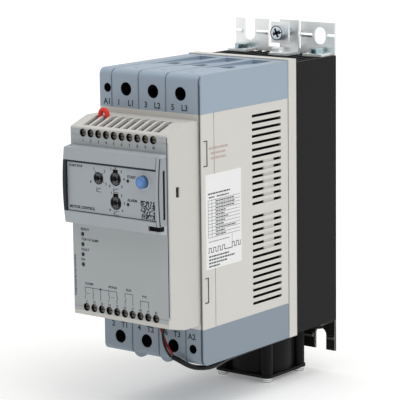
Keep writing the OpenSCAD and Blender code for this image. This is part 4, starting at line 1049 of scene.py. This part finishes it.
class StarterEarthRecess(bpy.types.Operator):
    """Paints the earth screw's cross recess over its slot as dark painted shade, with a painted dark
    reflection round the head's rim.
    """

    bl_idname = "starter.earth_recess"
    bl_label = "Earth recess"

    def execute(self, context):
        low, high = box("earth_screw")
        x, z = (low.x + high.x) / 2, (low.z + high.z) / 2
        across = high.x - low.x
        recess = Print()
        # Dark ring round the head: painted dark reflection; dark cross: painted shade of the recess
        recess.ring(x, z, across * 0.86, across * 0.06)
        for turn in (25, 115):
            recess.bar(x, z, across * 0.62, across * 0.17, turn)
        recess.piece("earth_recess", front_face(low.y), "Pad print, dark", HOUSING, "zinc")
        return {"FINISHED"}


class StarterSideLabel(bpy.types.Operator):
    """Sticks a white label with a plain ruled table and a wave on the right-hand side."""

    bl_idname = "starter.side_label"
    bl_label = "Side label"

    def execute(self, context):
        face = right_face(SIDE_X)
        film = Print(thick=sizes().film / MM)
        film.bar(20.4, 84.3, 33.9, 55.6)
        film.piece("side_label", face, "Label film, white", HOUSING, "pale_plastic")
        on_film = -sizes().film / MM + 0.02
        ink = Print(sunk=on_film)
        self.table(ink)
        ink.piece("side_label_print", face, "Label print, grey", HOUSING, "pale_plastic")
        wave = Print(sunk=on_film)
        self.wave(wave)
        wave.piece("side_label_wave", face, "Pad print, dark", HOUSING, "pale_plastic")
        faint = Print()
        for k, (start_y, length) in enumerate(((7.3, 17.5), (8.8, 13.8), (8.8, 14.2))):
            faint.dashes(start_y, 127 - k * 2.9, length, 1.3)
        faint.piece("side_print", face, "Pad print, brown", HOUSING, "pale_plastic")
        return {"FINISHED"}

    def table(self, ink):
        """Heading, ruled table and four lines of small print."""
        left, top, row, rule, small, large = 5.7, 96.9, 1.98, 0.22, 0.8, 0.9
        ink.dashes(left, 100.7, 20.8, large)
        ink.dashes(6.4, 98.6, 5.3, small)
        ink.dashes(13.9, 98.6, 11.4, small)
        for k in range(12):
            ink.bar(20.8, top - k * row, 30.4, rule)
        for y in (left, 9.2, 12.8):
            ink.bar(y, 86, rule, 21.8)
        for k, length in enumerate((17, 18.3, 17.2, 9, 8, 11.5, 8.4, 7, 18.6, 8, 9)):
            ink.dashes(13.2, top - 1 - k * row, length, small)
        ink.dashes(6, 72.6, 20, 0.4)
        for k, length in enumerate((19, 24.5, 17, 10.5)):
            ink.dashes(6, 63.9 - k * 1.93, length, large)

    def wave(self, ink):
        """Square wave of four slow pulses and two quick ones."""
        low, high, lift, step = 66.3, 68.9, 0.4, 28.2
        points = [(5.7, low)]
        for k in range(4):
            x = 6.2 + k * 4.2
            points += [(x, low), (x, high), (x + 2.1, high), (x + 2.1, low)]
        points += [(step, low), (step, high + lift)]
        for k in range(2):
            x = 30.2 + k * 3.9
            points += [(x, high + lift), (x, low + lift), (x + 1.9, low + lift), (x + 1.9, high + lift)]
        ink.line(points, 0.45)
        ink.line([(step, high), (step, 74.4)], 0.2)


OPERATORS = (StarterStage, StarterFinishes, StarterFanLead, StarterJumper, StarterHoleLinings, StarterSeams,
             StarterVents, StarterTerminalMarks, StarterPanelPrint, StarterPanelLips, StarterSettingsPrint,
             StarterBandEnd, StarterDialFaces, StarterButtonCap, StarterEarthRecess, StarterSideLabel)


class StarterPanel(bpy.types.Panel):
    """Lists the starter's pieces and properties."""

    bl_idname = "VIEW3D_PT_starter"
    bl_label = "Starter"
    bl_space_type = "VIEW_3D"
    bl_region_type = "UI"
    bl_category = "Starter"

    def draw(self, context):
        for operator in OPERATORS:
            self.layout.operator(operator.bl_idname)
        for group in (colours(), sizes()):
            for name in group.__annotations__:
                self.layout.prop(group, name)


CLASSES = (StarterColours, StarterSizes, *OPERATORS, StarterPanel)


def register():
    for kind in CLASSES:
        bpy.utils.register_class(kind)
    bpy.types.Scene.starter_colours = PointerProperty(type=StarterColours)
    bpy.types.Scene.starter_sizes = PointerProperty(type=StarterSizes)


def unregister():
    del bpy.types.Scene.starter_sizes
    del bpy.types.Scene.starter_colours
    for kind in reversed(CLASSES):
        bpy.utils.unregister_class(kind)


def main():
    register()
    for operator in OPERATORS:
        getattr(bpy.ops.starter, operator.bl_idname.split(".")[1])()


if __name__ == "__main__":
    main()
